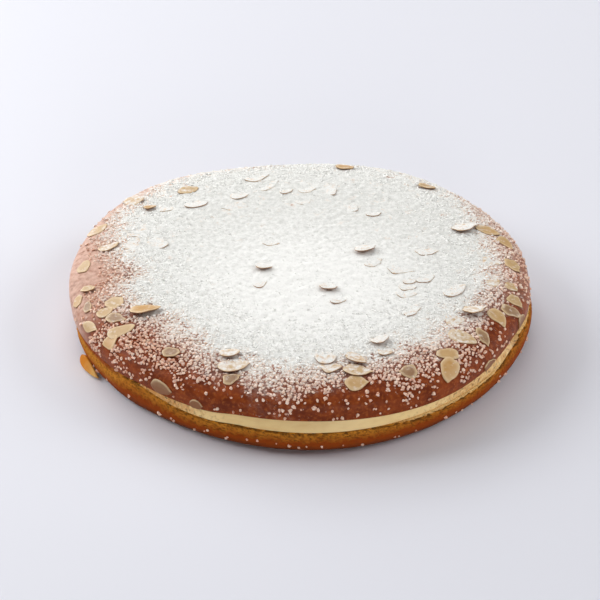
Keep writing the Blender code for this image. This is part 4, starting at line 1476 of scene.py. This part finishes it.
def make_stage():
    """Pale floor, soft lights, faint light from all round, and the camera."""
    settings = stage()
    bpy.ops.object.select_all(action="DESELECT")
    bpy.ops.mesh.primitive_plane_add(size=settings.floor_size)
    floor = bpy.context.object
    floor.name = floor.data.name = "floor"
    material, tree, shader = new_finish("pale_floor")
    feed(tree, shader.inputs["Base Color"], settings.floor)
    shader.inputs["Roughness"].default_value = 0.7
    floor.data.materials.append(material)

    world = bpy.data.worlds.new("surrounding_light")
    world.use_nodes = True
    background = world.node_tree.nodes["Background"]
    background.inputs["Color"].default_value = (*settings.sky, 1)
    background.inputs["Strength"].default_value = settings.sky_strength
    bpy.context.scene.world = world

    for power, place, size in LIGHTS:
        soft_light(power.replace("power", "light"), place, size, getattr(settings, power))

    middle = Vector(at_azimuth(0, 0, 0))
    tilt = settings.camera_elevation
    view = Vector((0, -math.cos(tilt), math.sin(tilt)))
    up = Vector((0, math.sin(tilt), math.cos(tilt)))
    eye = middle + view * settings.camera_distance
    look = middle + up * settings.aim_height - eye
    bpy.ops.object.camera_add(location=eye, rotation=look.to_track_quat("-Z", "Y").to_euler())
    camera = bpy.context.object
    camera.data.lens = settings.lens
    camera.data.clip_start = 0.01
    bpy.context.scene.camera = camera
    bpy.context.scene.view_settings.view_transform = "Standard"


# Add-on

class CAKE_OT_crust(bpy.types.Operator):
    """Make the glazed upper half of the brioche"""

    bl_idname = "cake.crust"
    bl_label = "Glazed crust"

    def execute(self, context):
        make_crust()
        return {"FINISHED"}


class CAKE_OT_base(bpy.types.Operator):
    """Make the lower half of the brioche"""

    bl_idname = "cake.base"
    bl_label = "Lower half"

    def execute(self, context):
        make_base()
        return {"FINISHED"}


class CAKE_OT_cream(bpy.types.Operator):
    """Make the layer of pastry cream"""

    bl_idname = "cake.cream"
    bl_label = "Pastry cream"

    def execute(self, context):
        make_cream()
        return {"FINISHED"}


class CAKE_OT_almonds(bpy.types.Operator):
    """Lay the almond slices on the crust"""

    bl_idname = "cake.almonds"
    bl_label = "Almond slices"

    def execute(self, context):
        make_almonds()
        return {"FINISHED"}


class CAKE_OT_nibs(bpy.types.Operator):
    """Strew the sugar nibs on the crust"""

    bl_idname = "cake.nibs"
    bl_label = "Sugar nibs"

    def execute(self, context):
        make_nibs()
        return {"FINISHED"}


class CAKE_OT_foot(bpy.types.Operator):
    """Put the sugar and the toasted slice at the foot of the cake"""

    bl_idname = "cake.foot"
    bl_label = "Sugar and slice at the foot"

    def execute(self, context):
        make_foot_sugar()
        make_fallen_slice()
        return {"FINISHED"}


class CAKE_OT_stage(bpy.types.Operator):
    """Set the floor, the light and the camera"""

    bl_idname = "cake.stage"
    bl_label = "Stage"

    def execute(self, context):
        make_stage()
        return {"FINISHED"}


OPERATORS = (CAKE_OT_base, CAKE_OT_cream, CAKE_OT_crust, CAKE_OT_almonds, CAKE_OT_nibs,
             CAKE_OT_foot, CAKE_OT_stage)


class CAKE_PT_panel(bpy.types.Panel):
    """Pieces of the cake, in the order in which they are made."""

    bl_idname = "CAKE_PT_panel"
    bl_label = "Tarte tropezienne"
    bl_space_type = "VIEW_3D"
    bl_region_type = "UI"
    bl_category = "Cake"

    def draw(self, context):
        for operator in OPERATORS:
            self.layout.operator(operator.bl_idname)
        for group in SETTINGS:
            self.layout.label(text=group)
            settings = getattr(context.scene, group)
            for name in settings.bl_rna.properties.keys():
                if name not in ("rna_type", "name"):
                    self.layout.prop(settings, name)


SETTINGS = {
    "cake_sizes": CakeSizes,
    "cake_toppings": ToppingSizes,
    "cake_colours": CakeColours,
    "cake_stage": StageSettings,
}
CLASSES = (*SETTINGS.values(), *OPERATORS, CAKE_PT_panel)


def register():
    for cls in CLASSES:
        bpy.utils.register_class(cls)
    for name, group in SETTINGS.items():
        setattr(bpy.types.Scene, name, bpy.props.PointerProperty(type=group))


def unregister():
    for name in SETTINGS:
        delattr(bpy.types.Scene, name)
    for cls in reversed(CLASSES):
        bpy.utils.unregister_class(cls)


def main():
    register()
    bpy.ops.cake.base()
    bpy.ops.cake.cream()
    bpy.ops.cake.crust()
    bpy.ops.cake.almonds()
    bpy.ops.cake.nibs()
    bpy.ops.cake.foot()
    bpy.ops.cake.stage()


if __name__ == "__main__":
    main()
